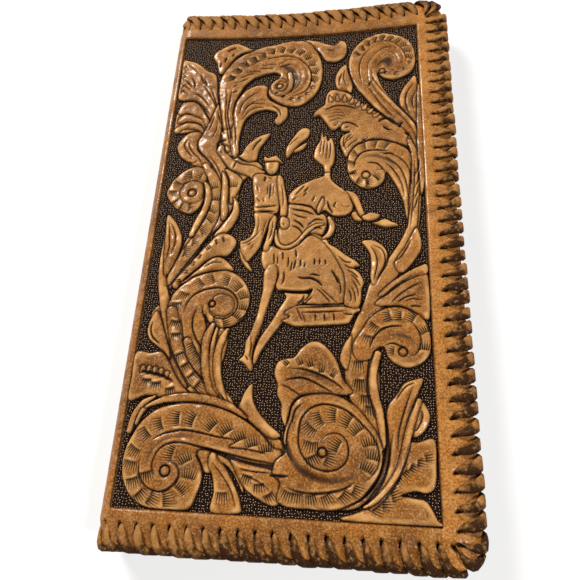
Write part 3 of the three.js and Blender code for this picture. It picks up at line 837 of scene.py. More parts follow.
LOWER_LEFT = (
    Lobe("35,32.6 33.2,30.4 32.3,28 31.6,26 31,25.3 34.5,23 38.5,20 41.5,18.5 43.5,19.5 40.5,22 37.5,25 "
         "35.6,28.5"),
    Cuts("31.3,26.5 33.2,25 34.6,23", 0.5),
    Band("6,25.6 11,27.6 17,28.4 23,28 29,26.4 34,23.6", "0.4 1 1.2 1.2 1.1 0.5", 0.1),
    Lobe("20,16 25,15 27.8,13.4 27,10 25.4,9.3 24,9.8 22.6,12.4", 0.1),
    Lobe("25.6,14.6 27.4,14 30.5,10 33,6 34.4,2.5 34,0.4 27,0.3 27.2,5 26.3,9 25,12"),
    Fans("29.6,3.6", (29, 12), 4, 2.4, 0),
    Cuts("33.4,1.4 31.5,5.8 28.5,9.6 26.2,12", 0.5),
    Lobe("27.5,14.2 31,12.5 33,11 34.6,8 34.8,5 33.5,7 31,10.5 28,12.5"),
    Lobe("31,13 36,12 42,11 46,10.5 45,8 46,6 44,3 41.7,2.6 38.5,4 35.5,5.8 33.8,8 32,11"),
    Fans("35.4,8.2 38.9,6.3 41.8,4.2", (46, 12), 4, 2, 60, 0.66, 0.28),
    Cuts("42,10.1 37,10.3 33,10.9", 0.5),
    Cuts("42,5.8 38.5,8 34.8,9.3", 0.4),
    Lobe("44,15.5 41.5,16.4 38,20 33,23.4 27,25.8 20,26.9 14,26.5 9,24.8 5,21 3,17 1.9,13.5 1.9,9.5 3.4,5.3 "
         "6,2.3 10,0.5 16,0.2 21,0.7 22.8,4 23.8,7.8 23.3,11 21.6,14 24,15.4 28,14.4 35,12.6 41,12 44,11.9",
         0.34, 3.2),
    Trough("30,17 24,17.6 18.6,18.3 13.6,17.6 10.6,15.6 8.8,12.6 8.6,9.4 10.2,6.8", 1.8, 0.2),
    Cuts("32.3,17.8 27,18.4 22,19.3 18,19.8 14.5,19.3 11.5,18.3 9,16.8", 0.65, 0.36),
    Cuts("41,14.6 35,15.6 30.3,16 33,17.8", 0.55),
    Cuts("44,12.2 36,13.2 29,14.5 24,15.4 20.5,16.1 17.5,16.6 14.2,16.3 11.8,15 10.5,13 10.1,10.8 10.6,9 "
         "12,7.8 13.5,7.6; 13.6,11 15,11.6 16.6,11 17.6,9.3 17.3,7.4 15.8,5.5 13.5,4.4 11,4.6 8.8,5.8 "
         "7.2,7.8 6.6,10.5 6.9,13", 0.6, 0.34),
    Eye((13.8, 9.4), 1.4),
    Fans("6.8,18 10.2,20.6 14.6,22.6 18.8,22.6 24.6,21.6 28.8,20.6 32.6,18.9 36.2,17.6 40,16.4",
         (16, 10), 5, 2.3, 85, 0.66, 0.3),
    Fans("4.4,13.6 4.2,10 5.8,6 8.4,3 11.8,2.6 15.6,2.8 19,5.8 20.4,9 18.6,12.8 14.2,13.8 9,7.6",
         (13.8, 9.4), 5, 2.3),
)

LOWER_RIGHT = (
    Lobe("75.5,19.5 78,19.2 82.3,20 82.6,14 82,9 80,7.4 77,7.6 74,6.6 77,6.2 80,5.4 82.3,1.5 82.6,0.3 60,0.3 "
         "64,2.5 68,5.5 71.5,9 74,13.5"),
    Fans("80.9,15.6 79,14.2 77.1,12.8 75.4,11.4 73.6,9.8", (74, 20), 3, 1.7, 40, 0.6, 0.28),
    Fans("72.6,6.8 70.6,4.4 68.4,3.2", (66, 12), 4, 2.2, 60),
    Cuts("76,6.9 78,7 81,5.5", 0.9),
    Lobe("80.2,35.2 77.6,34.8 75.2,33.6 73,30.5 71.3,28.4 70.6,25.6 71,21 71.2,15 69.3,9.5 66,5 67,3 72,8 "
         "74.5,14 75.4,20 76.6,25 78,29.5 79.2,32.2"),
    Cuts("73.3,29.4 74,30.8 75.8,33 78.2,34.2", 0.5),
    Cuts("73.2,16 73.6,21 74.8,25.5 76.3,30 77.7,33.4"),
    Lobe("79,29.8 80.8,28 81.6,25.3 80.3,22.3 78,20.3 76.5,20.8 77.4,24.5"),
    Cuts("77.2,21.6 78.4,22.6 79.6,25.5 79.2,27.6", 0.6),
    Band("79,29.5 77.6,26 76.3,22 75,17 73.3,12.2 70.5,8 67.5,5 65,3.5",
         "0.7 0.9 1 0.9 0.8 0.7 0.6 0.4", 0.42),
    Band("69,19 66.5,25 63.5,30 62.8,36 63.3,42 65,48.5 67.5,55 69.5,61 72.5,66 75.5,71 77.8,76 79.2,81 "
         "79.8,88 80.6,96 80.8,104 79.3,110", "1 1.8 2.3 3 3.2 3 2.8 3 2.6 2.2 1.7 1.3 1.3 1.3 1.2 0.8"),
    Fans("63.5,38 63.8,33 65.5,29 66.6,26.3 63.8,42", (64, 60), 4, 2.6, 0),
    Band("82.2,91 82.6,97 82.6,106 82.7,118 82.8,132", "0.3 1 1.1 1 0.4", 0.15),
    Cuts("78.2,78 79,84 79.8,91 80.4,98 80.6,104", 0.5),
    Cuts("79.2,84.5 80.4,87.4 81,90.4; 79.6,88.5 80.9,91.4 81.5,94.6; 80,92.6 81.3,95.6 81.8,98.8; 80.3,97 "
         "81.5,100 81.9,103.4", 0.45),
    Cuts("77.6,79 78.2,84 79,88.6", 0.4),
    Lobe("68,55.5 69.5,57.5 73,60.8 76.5,63.5 79.5,65 82.6,65.4 82.8,52.4 80,52 78,53.6 75,55 71,55"),
    Lobe("69,58.5 72,61.8 76,64.8 79.5,66.8 82.5,67.9 82.6,65 78,64 74,61.3 70.5,58.2"),
    Cuts("81.4,64.4 79,63.7 75.5,62 72,59.3 69.3,57.1; 79.6,58.7 76.5,57.8 74,56.1"),
    Cuts("81.6,62.4 78.3,61 75,58.7 72.2,55.7; 80.8,54.9 79.2,55.2 77.4,55.1; 82,68 80.2,67.8 78.7,67.5 "
         "77.9,66.5 78.4,65.4", 0.5),
    Cuts("81,56.8 78.5,57.3 76,56.5", 0.4),
    Lobe("64.4,75.1 67.3,75.6 70,74.2 71.7,71.5 71.4,68 69.6,64.8 67.8,61.5 66.8,63.5 67,67.5 66.6,71.5"),
    Cuts("66.9,73.4 68.3,71 68.8,68 68,64 67.6,62.5", 0.6),
    Cuts("67.5,73.7 70,72.5 71,70 70.6,67 68.5,63.2", 0.5),
    Lobe("80.2,79.6 81.3,76.5 81.4,73 79.8,69.8 77.8,67 75.5,65 73.6,67.5 74.6,70 76.6,73 78.3,76.3"),
    Cuts("78.5,75.5 77,72.6 75.4,70 74,69", 0.6),
    Lobe("62,44 64.6,48.4 66.4,51.4 69,53.7 72,54.8 75.3,54.8 78.7,53.3 81.4,51 82.7,46.5 82.3,42 80,39.2 "
         "76.6,38 73.4,38.8 71.3,40.8 70.2,43.5 68,42.5 66.5,40 63,40", 0.32, 3),
    Trough("66.6,49.4 69.6,50.6 73.6,51 77.6,50", 1.6, 0.18),
    Trough("71,46.6 74.6,46.8 77.8,45.4 77.8,42.4", 2.2, 0.22),
    Cuts("75.8,49.4 72,49.2 69.3,48 67.3,45.5 66.3,42.5", 0.65, 0.36),
    Cuts("76.6,40.9 78.4,41.6 79.7,43.3 80.1,46 79.2,48.8 77.5,50.6"),
    Cuts("76,43.4 74.6,43.8 72.5,44.5 70.6,43.9", 0.5),
    Eye((75.3, 42.2), 1.2),
    Fans("67.3,48.8 71,52 74,52.4 66,45.4 77.6,52 80.8,48.5 81,44", (74, 44), 4, 2),
    Fans("72,42.4", (76, 42), 3, 1.6, 0),
    Band("68.6,41.5 67.3,36 67.6,31 69,25.5 69.8,19 69.4,16.8", "1 1.1 1.2 1.1 0.8 0.3", 0.3),
    Lobe("58.5,39.5 59.4,43.5 61.5,46.6 61.4,42 60.4,37"),
    Lobe("40.9,36 41.6,38.6 43.6,39.7 46,40.2 48,42.8 50.5,44.6 53.3,44.4 56,42 58,39 59.6,34.5 62,31 58,30 "
         "52,30 48.6,29.6 46.3,28 45.4,24.5 44.9,21 43.4,24.5 43.2,27.5 42,29.8 41.9,32.6 41.2,34.3", 0.34),
    Fans("43.8,38.7 47.7,39 50.5,38.6 53.8,37.1 57,35.8", (53, 30), 2, 1.8, 0, 0.6, 0.32),
    Cuts("60.6,30.8 58,33 55,34.8 51.5,36.2 48,37 44.9,36.9; 57,30.8 54.5,32 51.5,33.6 48.5,34.5 45.5,34.2 "
         "43.4,33.2", 0.65),
    Cuts("48.7,29.6 45.5,31.5 42.8,32.7", 0.5),
    Lobe("44.6,21 45.6,24.5 46.2,27.2 48.6,29.6 53,30.5 58,30.2 62.5,27.8 66,24 68.4,20.6 69.6,17 69,12 "
         "66.5,8 63,4.5 57,2.2 52,2.3 46,2.5 43.5,4 44,8 42,10 42.5,13 45,15.5 44.3,18", 0.34, 3),
    Trough("47.6,27.4 45.9,22 45.7,17 47.6,12.8 52,9.9 57,9 62,10.2 65.6,13"),
    Trough("62.6,38 63.4,33 65.6,28.4 67.6,24", 2.4, 0.24),
    Trough("59.4,30.6 55.4,33.4 50.6,35.4 45.6,35.4", 1.8, 0.2),
    Cuts("64.5,9.2 66.5,10.3 68.4,13 68.6,16.5 67.2,20 64.5,23 61,26 57.5,27.4 54,27.7 51,26.5 48.9,24 "
         "48.3,21 48.3,17.5 49.6,14.5 52,12.2 55,11.3 58,11.7 60.4,13.6 61.1,16.5 60.3,19 58.3,20.5 "
         "55.8,20.2 54,18.4 53.4,16.5", 0.6, 0.36),
    Cuts("49.3,28 47,26 46.3,22.5", 0.5),
    Cuts("46.4,24 45.2,20 45.4,16 47,13", 0.4),
    Cuts("62.9,9.2 60,7.4 56.5,6.4 52.5,5.9 48.5,6.2 45.6,7.2", 0.75, 0.36),
    Cuts("46.4,9.6 44,9.6 41,9.6", 0.9),
    Eye((54.4, 15.7), 1.2),
    Fans("52.8,23.6 56.4,25 60.2,24 62.8,22 66.2,19 67.2,15.8 66,12.8 50.8,21 51.4,16.8 52.4,13.6 57.4,17.6 "
         "56.6,14.2", (57, 16.5), 5, 2.3),
    Fans("46,4.8 48.6,4.5 52,4.3 56,4.6 60.5,5.4 63.4,6.8", (54, 16), 4, 2.2, 20),
    Cuts("52.3,3 56,2.2 60,2.2 64,3.4 67.3,6 69.6,9.5 71,13.5 71.6,18 72.3,22"),
)

RIGHT_SCROLL = (
    Lobe("60,104 61,107 63.5,109.5 67,110.8 71,110.7 75,109.4 78.5,107 80.7,103 81,96 80,89 78.6,82 77.5,83 "
         "76.8,88 75.4,92.5 73.5,96.5 71.9,98.8 71.2,96.2 69.5,94.2 66.6,93.2 63.6,94 61.2,96.5 60,100",
         0.32, 2.8),
    Trough("62.8,101.6 64.6,104.2 68,104.9 72,103.2 74.6,99.6 76,94", 2.2, 0.22),
    Cuts("73,106.3 70,106.8 66.6,106.9 64,105.7 62.3,103 62,100.5", 0.65, 0.36),
    Cuts("71,105.2 73,105.6 74.8,105", 0.7),
    Cuts("78.4,90 77.4,96.4 75.4,101 71.8,104.2; 59,113.4 58.6,109.8 60,106.6; 77.9,85 78.5,92 79.3,98 "
         "79,104", 0.5),
    Cuts("77.2,89 76.2,95 74,99.6 70.8,102.8", 0.4),
    Cuts("79.6,92 78.8,99.4 75.4,104.2 69.8,106", 0.45),
    Cuts("57.6,112.6 57.4,109 59,105.4", 0.6),
    Cuts("71.8,98.5 70.8,100 69.3,101.7 67.3,102.3 65.7,102"),
    Eye((65.7, 97.8), 1.3),
    Fans("64.6,108.4 68,109.2 71.6,108.8 61.8,105.6 60.9,102 61.6,98.2 63.8,95.4 66.6,94.8 69.2,97.2",
         (66, 100), 4, 1.7),
    Cuts("69.9,117.4 70.5,118.8 72.4,119.3; 76.2,115.2 76.6,116.6 77.6,117", 0.9, 0.4),
    Cuts("70.6,116.4 72.6,114.8 74.6,114; 77.8,113.4 78.8,112.2 78.6,110.8; 68.3,97 69.9,96.1", 0.6),
    Cuts("60.5,98.7 62.7,98.6; 66.3,96.1 66.3,94.3", 0.7),
    Cuts("69,99.6 71,99.9", 0.5),
)

SMALL_LEAVES = (
    Lobe("25.6,107 27,110 29.5,112.8 32,114.3 34.7,114.8 33,111.5 31.4,108.5 30.6,104.6 27.5,104.3 "
         "24.5,106.5"),
    Cuts("29.2,108 30.2,110.5 32,112.6", 0.9, 0.4),
    Lobe("40.3,109 42.5,113.2 44.5,116 46.5,116.6 47.8,115.3 47,112.8 44.5,110.4 42.4,107.6 41,105.2 "
         "40.3,106"),
    Cuts("41.2,109.6 42.6,111.4 44.4,112.8", 0.6),
    Lobe("42.6,107.4 44.6,109.4 46.9,110.7 46,108.7 44,107.5"),
)

HORSE = (
    Lobe("53.2,98.4 52.4,101.6 51,103 49.6,104.6 49.2,106 50,109.2 51.2,111.6 51.7,116 52.2,112.8 53,113.4 "
         "53.6,111.2 54.7,112.3 55.6,110 56,106 55.6,102.6 54.7,100.8 54.7,98.4", 0.16, 1.6),
    Cuts("51.2,106 51.4,109 51.9,112; 52.2,104.4 52.4,108.5 52.7,112; 53.2,103.5 53.5,107.5 53.6,110.6; "
         "54.2,103.6 54.6,107 54.6,110.4", 0.4),
    Band("59.8,91.6 61.8,90.4 63.2,87.6 64.2,84.8 65.4,83", "1 1.2 1 0.9 0.7", 0.4),
    Lobe("64.4,83.4 65.6,84.2 67,84.8 68.5,84.4 69.8,83.8 68.5,82.5 66.5,82 65,82.3", 0.2, 1),
    Lobe("61.3,84.4 62.6,85.3 63.5,83.6 64.5,82.2 62.5,82.2", 0.2, 1),
    Lobe("67.4,81.3 69,81.7 70.2,82.4 71.8,82.4 73,81.7 75.2,80.5 73,80 71,79.8 69.5,80.4", 0.2, 1),
    Lobe("44,59 42.2,59.1 42.9,57.6 42.2,56 41,54 39.8,51.5 38.2,48.8 36.5,46 35.4,43.5 34.7,41 34.8,38 "
         "35.7,38.8 36.5,41 38.2,44 40,46.8 42,49.6 43.6,51.2 45.5,54 48.5,56.4 49.4,58.6", 0.18, 1.5),
    Lobe("42.2,50.4 44,49.6 46,48.9 50,49.1 56,49.5 60.4,49.9 61.6,51.2 62.6,53 64,53.6 63.4,55.2 60,55.8 "
         "52,55.4 47,55.2 44,54 42.8,52.6 44.2,51.8", 0.12, 1.4),
    Cuts("63,54.4 60,55 55,54.9 48,54.5 45.4,54.2; 60,53.6 55,53.3 47.4,53; 46,54.6 47,52.5 48,50.4; 59,53 "
         "60.6,52.6 62,52.6", 0.5),
    Cuts("47.6,53 48.4,51.2 48.8,49.8", 0.35),
    Cuts("51.4,52.8 51.6,50.4; 54,52.8 54.2,50.5; 56.6,53 56.8,50.6", 0.55),
    Lobe("49,77.6 53.6,76.4 55,74.4 57,73.2 58.6,71.8 60.6,70.3 62.6,69 63.8,67.5 62.2,66.7 64,64.8 65,62.2 "
         "64.4,60 64.3,57 63.6,54.8 61.4,54.6 59,56 55,60", 0.2, 1.6),
    Cuts("61.6,68.4 59.6,68.6 57.6,70.4; 62.4,66.5 60.6,66.9 59.2,68; 63.6,63.4 62,65 60,66.2; 63.6,57.6 "
         "63,60.6 61.4,63.2; 62.6,56 62.4,58.6 61.4,61", 0.5),
    Cuts("64.2,60.8 62.6,63.4 60.8,65", 0.45),
    Cuts("61.2,56 61.4,58 60.6,60.4", 0.6),
    Lobe("35.2,72.8 37.5,74 40,73.2 44,73.6 47,76.5 49.5,77.3 52,76 54.5,73 56.6,70 58.2,67 59.2,64.5 "
         "59.6,61 59.3,57.5 58.8,55.8 56,55.6 52,55.4 48,55.8 49.2,57.5 50.4,60 48.5,59.3 44,59.2 40.6,59.7 "
         "39.6,61.5 40.2,64.5 38.6,67.2 36.4,66.2 35.5,67 34.8,69.8", 0.26, 3),
    Cuts("50.3,60 48,59.3 44.5,59.3 40.8,59.8", 0.8, 0.4),
    Cuts("51.2,60.4 53,59 55.8,55.8; 48.2,58.4 47.6,56.8 46,55.4; 52.6,64 50.8,64.6 49.4,64.4; 38.6,71.4 "
         "38.8,68; 41.2,72 41.4,69; 45,72.6 45.3,69.8; 45.2,69.4 44.7,66; 41.8,65.8 42,63.4 41.4,61.2", 0.6),
    Cuts("52.4,60.6 54.6,58.6 57.6,55.8; 39.8,70.8 39.8,67.6", 0.45),
    Cuts("50.4,57.8 49,56.4 48.4,55.6; 43,70.4 43,66.6; 44.2,68.8 43.8,65.4; 53.8,69.4 54,67.4", 0.5),
    Cuts("53.4,60.8 52,62.4 50,63.4 47.6,63.4 45.8,63.8", 0.9, 0.36),
    Cuts("57.8,61.6 57,63.8 55.6,66.2", 0.8),
    Cuts("58.4,58 58.4,61 57.4,64.4; 48,68.6 47.8,66.6", 0.4),
    Cuts("46.6,69.4 46.6,66.8; 50.7,69.6 50.7,67.4; 52.2,69.6 52.2,67.6", 0.55),
    Lobe("36,65.4 37.4,67.6 39,67.8 40,66 39.9,62.6 38.9,59.5 38,56 37,52 36.2,48.5 35,45 34.4,42 34.2,39.5 "
         "34.7,37.4 34,36.2 32.4,38 30.8,39.1 32,40.6 32.3,44.4 33.3,46.6 34.2,49.5 34.9,52.5 35.5,56 36,60",
         0.2, 1.6, LEAF_LEVEL, 0.4),
    Cuts("33.6,46 33.9,43 33.6,39.6", 0.35),
    Cuts("32.4,40.4 33.4,38.8", 0.4),
    Band("54.6,83 55.5,81 55.4,79 54.4,77.2 53.2,76.4", "0.6 0.9 0.9 0.8 0.5", 0.25),
    Lobe("42,88.2 46,87.8 49.5,86.8 51,84.6 53,84.4 54,82.6 53.8,80 52.6,77.4 50,78 47.5,76.5 45,74.5 "
         "42,73.6 39.8,74.5 39,77 39.6,80 41.5,83.5", 0.16, 2),
    Cuts("50.6,84 47.5,85.4 44.6,86 42.6,86.6", 0.7),
    Cuts("48.4,83 45.8,83.6 43.2,84.8; 52.8,79.2 51.4,80 49.8,79.4", 0.5),
    Cuts("47.4,79.4 45.8,81.4 43.6,82.8", 0.75),
    Cuts("47,77.6 45.6,79.6 43.4,80.6; 53.4,82 51,82.6 49,81.4 48.2,80.2", 0.6),
    Band("53,81 50.5,80.3 48.5,78.8 46.8,76.6 45,74.6 43,73.5 41,73.4 39.6,74.4 38.9,76.4 38.7,79",
         "0.3 0.6 0.65 0.65 0.65 0.65 0.65 0.65 0.6 0.4", 0.3, edge=0.9),
    Lobe("52.8,99 52.6,98 50,97 47,95.6 44.5,94.2 42.6,92.2 41.9,90.5 42.3,88.4 46,87.9 49,87 50.7,85.2 "
         "51.5,84.3 53,85.6 54.4,85 56,83.8 58,83.8 60,84.2 61.4,85.4 61.8,87.2 61.2,89 60.2,91.2 59,92.8 "
         "57,94.5 55.3,96.2 54.8,97.5 54.7,99", 0.3, 3.2),
    Lobe("52.6,90.3 53.2,88.5 52.5,86.3 51.4,84.6 50.8,86 51.5,88.3", 0.4, 1),
    Cuts("54,89 54.5,86.8 55.8,84.4", 0.8, 0.4),
    Cuts("46.8,94.6 45,92.4; 48.2,94 46.6,92; 50.2,90.6 49.2,88.6", 0.5),
    Cuts("45.4,92.8 44,91; 47.6,92.2 46.4,90.4; 57.8,87.6 59.4,86.6 61,87", 0.4),
    Cuts("44.6,90.4 43.2,89.2", 0.35),
    Cuts("56.8,88.6 56,87 56.8,86.4", 0.55),
)

RIDER = (
    Band("28.4,72.6 29.4,69.6 30.8,67.4 32,66", "0.6 0.7 0.6 0.4", 0.2),
    Lobe("37.6,84.8 38.7,83.3 38.5,80 38.2,77 37.4,74.5 36.6,72.2 35,72.8 35.6,75.5 36.2,79 36.4,82", 0.2, 1),
    Cuts("37.6,82.6 37.5,79 36.6,75.4", 0.4),
    Lobe("31.6,85.5 32,82 31.8,79.5 31,77.3 29.5,76 28,75.4 28.2,73 29.2,71 30.5,68.9 31.9,70.2 33.2,72 "
         "34.3,74 34.9,76.4 35.7,79.4 36.6,82.4 38,85.2 35,86", 0.2, 1.6),
    Cuts("28.4,74.4 30.6,75.4 32.6,77.2 33.8,79; 30.4,74 31.4,75", 0.6),
    Cuts("32.8,78 33.2,80.6 33.2,84; 34.6,77 35,80 36,83; 31.2,72.4 32.4,74.4", 0.4),
    Lobe("33.2,98.6 30.6,97.2 28.5,98.6 25.3,100 22.3,101.4 20.4,103.6 18.6,106.3 17.3,108.2 17.5,110.2 "
         "18.6,111 19.8,110.2 20,108.6 21.5,106.8 23.6,104.6 26,103.2 30,102.4 32.4,101 34,100", 0.22, 1.5),
    Cuts("18.4,108 19.4,107.6", 0.5),
    Cuts("24.2,104.3 23.4,101.4", 0.45),
    Lobe("20,110.6 21.4,109.6 21.8,108.4 20.8,107.9 20,109", 0.3, 0.8),
    Lobe("30.2,98.2 32.6,99.4 35.8,98.6 38.4,98.4 39.4,96 39.6,91 39.4,87 38.2,84.9 35,85.4 31.6,85.6 "
         "31.2,89.6 30.5,94", 0.2, 2),
    Cuts("38.8,87.6 35,87.3 31.6,87; 36.1,95.6 36,92.6 36.1,89.8", 0.6),
    Cuts("38.4,85.4 35,85.8 31.8,85.6; 35.2,98 36.4,97", 0.5),
    Cuts("34.2,98.4 33.9,96.2", 0.9),
    Cuts("35.2,94.8 35.2,91; 37.1,94.8 37.1,91", 0.3),
    Cuts("31.6,95 32.4,92.4; 33.8,90.6 34.4,88.6", 0.35),
    Cuts("31.8,90.4 33.2,88.8", 0.45),
    Lobe("38.2,98.6 39.8,97.6 40.6,94 41.4,90.4 41.9,87 41.6,83.9 39.8,83.6 39.4,87 38.8,91 38.2,95",
         0.22, 1, LEAF_LEVEL, 0.9),
    Cuts("39.6,95 40.2,91 40.4,87", 0.35),
    Lobe("39.8,83.5 41.6,83.6 42.6,82 42.4,80 41,79.4 39.8,80.6", 0.2, 1, LEAF_LEVEL, 0.9),
    Cuts("40.6,81.6 41.2,80.4", 0.4),
    Lobe("33.9,103.8 33.8,102 34.3,100.2 35.6,98.9 37,99.4 37.9,100.8 38.2,102.5 37.8,103.8", 0.3, 1.6),
    Lobe("33.3,106 34.5,105.4 36,105.8 37.3,106 38.3,104.8 39.5,103.2 37.8,103.7 35.5,103.9 33.5,104.1",
         0.2, 1, LEAF_LEVEL, 0.8),
)

# The back's flower: a leaf and a petal, as shares of its radius and degrees from their middle
FLOWER_LEAF = ((0.5, -14), (0.95, -11), (1.25, 0), (0.95, 11), (0.5, 14))
FLOWER_PETAL = ((0.2, -20), (0.55, -34), (0.85, -31), (1, -15), (0.92, 0), (1, 15), (0.85, 31), (0.55, 34),
                (0.2, 20))
PETAL_TURN = 72


def flower(centre: Point, radius: float) -> tuple[Mark, ...]:
    """A five-petalled flower with a seeded heart.

    Args:
        centre: The flower's middle.
        radius: How far its petals reach.

    Returns:
        The marks that carve it.
    """
    def spot(reach: float, turn: float) -> Point:
        """A point at a share of the radius, so many degrees round from the top."""
        angle = math.radians(90 - turn)
        return centre[0] + reach * radius * math.cos(angle), centre[1] + reach * radius * math.sin(angle)

    def line(turn: float, *spots: Point) -> str:
        """Spots, each turned so many degrees further, written as marks take them."""
        return " ".join("{:.2f},{:.2f}".format(*spot(reach, turn + lean)) for reach, lean in spots)

    marks = []
    for turn in range(PETAL_TURN // 2, 360, PETAL_TURN):
        marks.append(Lobe(line(turn, *FLOWER_LEAF)))
        marks.append(Cuts(line(turn, (0.75, 0), (1.15, 0)), 0.5))
    for turn in range(0, 360, PETAL_TURN):
        marks.append(Lobe(line(turn, *FLOWER_PETAL), 0.34, 3))
        veins = (line(turn, (0.36, lean), (0.66, 1.2 * lean)) for lean in (-17, 0, 17))
        marks.append(Cuts(";".join(veins), 0.6))
        marks.append(Fans(line(turn, (0.84, -16), (0.84, 16)), centre, 4, 1.6, 0))
    marks.append(Lobe(line(0, *((0.3, turn) for turn in range(0, 360, 30))), 0.2))
    marks.extend(Eye(spot(0.2, turn), 0.9) for turn in range(0, 360, 60))
    marks.append(Eye(centre, 1.2))
    return tuple(marks)


SCROLLS = (STEM_BASES + UPPER_RIGHT + RIGHT_SCROLL + UPPER_LEFT + LEFT_SIDE + LOWER_LEFT + LOWER_RIGHT
           + SMALL_LEAVES)
FRONT = SCROLLS + HORSE + RIDER
BACK = SCROLLS + flower((43, 76), 15.5)


class Wire:
    """A shader value that takes part in sums written as Python."""

    def __init__(self, shader: "Nodes", socket: bpy.types.NodeSocket) -> None:
        """Holds one output socket of a shader."""
        self.shader, self.socket = shader, socket

    def maths(self, operation: str, first: "Wire | float", second: "Wire | float") -> "Wire":
        """One Math node on two values."""
        node = self.shader.node("ShaderNodeMath", {"operation": operation}, {0: first, 1: second})
        return Wire(self.shader, node.outputs[0])

    def __add__(self, other: "Wire | float") -> "Wire":
        """This value plus another."""
        return self.maths("ADD", self, other)

    __radd__ = __add__

    def __sub__(self, other: "Wire | float") -> "Wire":
        """This value less another."""
        return self.maths("SUBTRACT", self, other)

    def __rsub__(self, other: float) -> "Wire":
        """A number less this value."""
        return self.maths("SUBTRACT", other, self)

    def __mul__(self, other: "Wire | float") -> "Wire":
        """This value times another."""
        return self.maths("MULTIPLY", self, other)

    __rmul__ = __mul__

    def __pow__(self, power: float) -> "Wire":
        """This value to a power."""
        return self.maths("POWER", self, power)

    def cosine(self) -> "Wire":
        """The cosine of this value."""
        return self.maths("COSINE", self, 0.0)

    def rise(self, low: float, high: float) -> "Wire":
        """A smooth rise from 0 where this value is low to 1 where it is high."""
        settings = {"interpolation_type": "SMOOTHSTEP"}
        sockets = {"Value": self, "From Min": low, "From Max": high}
        return Wire(self.shader, self.shader.node("ShaderNodeMapRange", settings, sockets).outputs[0])


class Nodes:
    """A tree of shader nodes, with the one method that makes them."""

    def __init__(self, owner: "bpy.types.Material | bpy.types.World") -> None:
        """Starts with the empty tree of a material or a world."""
        owner.use_nodes = True
        self.tree = owner.node_tree
        self.tree.nodes.clear()

    def node(self, kind: str, settings: dict, sockets: dict) -> bpy.types.Node:
        """Makes a node.

        Args:
            kind: The node's type.
            settings: Its settings, set first.
            sockets: Values or links of its inputs, by name or number.

        Returns:
            The node.
        """
        node = self.tree.nodes.new(kind)
        for name, value in settings.items():
            setattr(node, name, value)
        self.feed(node, sockets)
        return node

    def feed(self, node: bpy.types.Node, sockets: dict) -> None:
        """Sets or links a node's inputs.

        Args:
            node: The node.
            sockets: Values or links of its inputs, by name or number.
        """
        for name, value in sockets.items():
            if isinstance(value, Wire):
                value = value.socket
            if isinstance(value, bpy.types.NodeSocket):
                self.tree.links.new(value, node.inputs[name])
                continue
            colour = node.inputs[name].type == "RGBA" and len(value) == 3
            node.inputs[name].default_value = (*value, 1.0) if colour else value

    def place(self) -> bpy.types.NodeSocket:
        """The point's place in the wallet, in metres."""
        return self.node("ShaderNodeTexCoord", {}, {}).outputs["Object"]

    def axis(self, name: str) -> Wire:
        """One axis of the point's place, in metres."""
        return Wire(self, self.node("ShaderNodeSeparateXYZ", {}, {0: self.place()}).outputs[name])

    def attribute(self, name: str) -> Wire:
        """A number that the mesh carries at each point."""
        return Wire(self, self.node("ShaderNodeAttribute", {"attribute_name": name}, {}).outputs["Fac"])

    def noise(self, size: float, detail: float = 3.0) -> Wire:
        """Cloudy noise, from 0 to 1, with marks about as large as size, in millimetres."""
        sockets = {"Vector": self.place(), "Scale": 1 / (size * MM), "Detail": detail}
        return Wire(self, self.node("ShaderNodeTexNoise", {}, sockets).outputs[0])

    def cells(self, size: float, randomness: float) -> Wire:
        """Distance to the middle of a flat cell, where cells are about as large as size, in millimetres."""
        sockets = {"Vector": self.place(), "Scale": 1 / (size * MM), "Randomness": randomness}
        node = self.node("ShaderNodeTexVoronoi", {"voronoi_dimensions": "2D"}, sockets)
        return Wire(self, node.outputs["Distance"])

    def mix(self, share: "Wire | float", first: "Colour | bpy.types.NodeSocket",
            second: "Colour | bpy.types.NodeSocket") -> bpy.types.NodeSocket:
        """One colour over another.

        Args:
            share: How much of the second colour shows.
            first: The colour underneath.
            second: The colour on top.

        Returns:
            The mixed colour.
        """
        settings = {"data_type": "RGBA", "clamp_factor": True}
        return self.node("ShaderNodeMix", settings, {0: share, 6: first, 7: second}).outputs[2]

    def seen(self) -> Wire:
        """One where the camera, a mirror or clear stuff looks on, nought for light that falls."""
        rays = self.node("ShaderNodeLightPath", {}, {}).outputs
        seen = Wire(self, rays["Is Camera Ray"]) + Wire(self, rays["Is Glossy Ray"])
        return seen + Wire(self, rays["Is Transmission Ray"])


class Shader(Nodes):
    """A material's nodes, round one Principled shader."""

    def __init__(self, name: str) -> None:
        """Starts a material with a Principled shader and its output."""
        self.material = bpy.data.materials.new(name)
        super().__init__(self.material)
        self.principled = self.node("ShaderNodeBsdfPrincipled", {}, {})
        self.output = self.node("ShaderNodeOutputMaterial", {}, {"Surface": self.principled.outputs[0]})

    def bump(self, height: Wire, distance: float, strength: float) -> None:
        """Gives the surface small relief, as high as distance, in millimetres."""
        sockets = {"Height": height, "Distance": distance * MM, "Strength": strength}
        normal = self.node("ShaderNodeBump", {}, sockets).outputs[0]
        self.feed(self.principled, {"Normal": normal})


@dataclass(frozen=True)
class Layer:
    """How a colour lies over others: where it begins, where it is full and how much of it then shows."""

    low: float
    high: float
    share: float = 1.0

    def over(self, value: Wire) -> Wire:
        """How much of the colour shows at a value."""
        return value.rise(self.low, self.high) * self.share


@dataclass(frozen=True)
class Cloud(Layer):
    """A colour that lies over others in cloudy marks of a size in millimetres."""

    size: float = 1.0
    detail: float = 3.0

    def marks(self, shader: Shader) -> Wire:
        """How much of the colour shows at a point."""
        return self.over(shader.noise(self.size, self.detail))


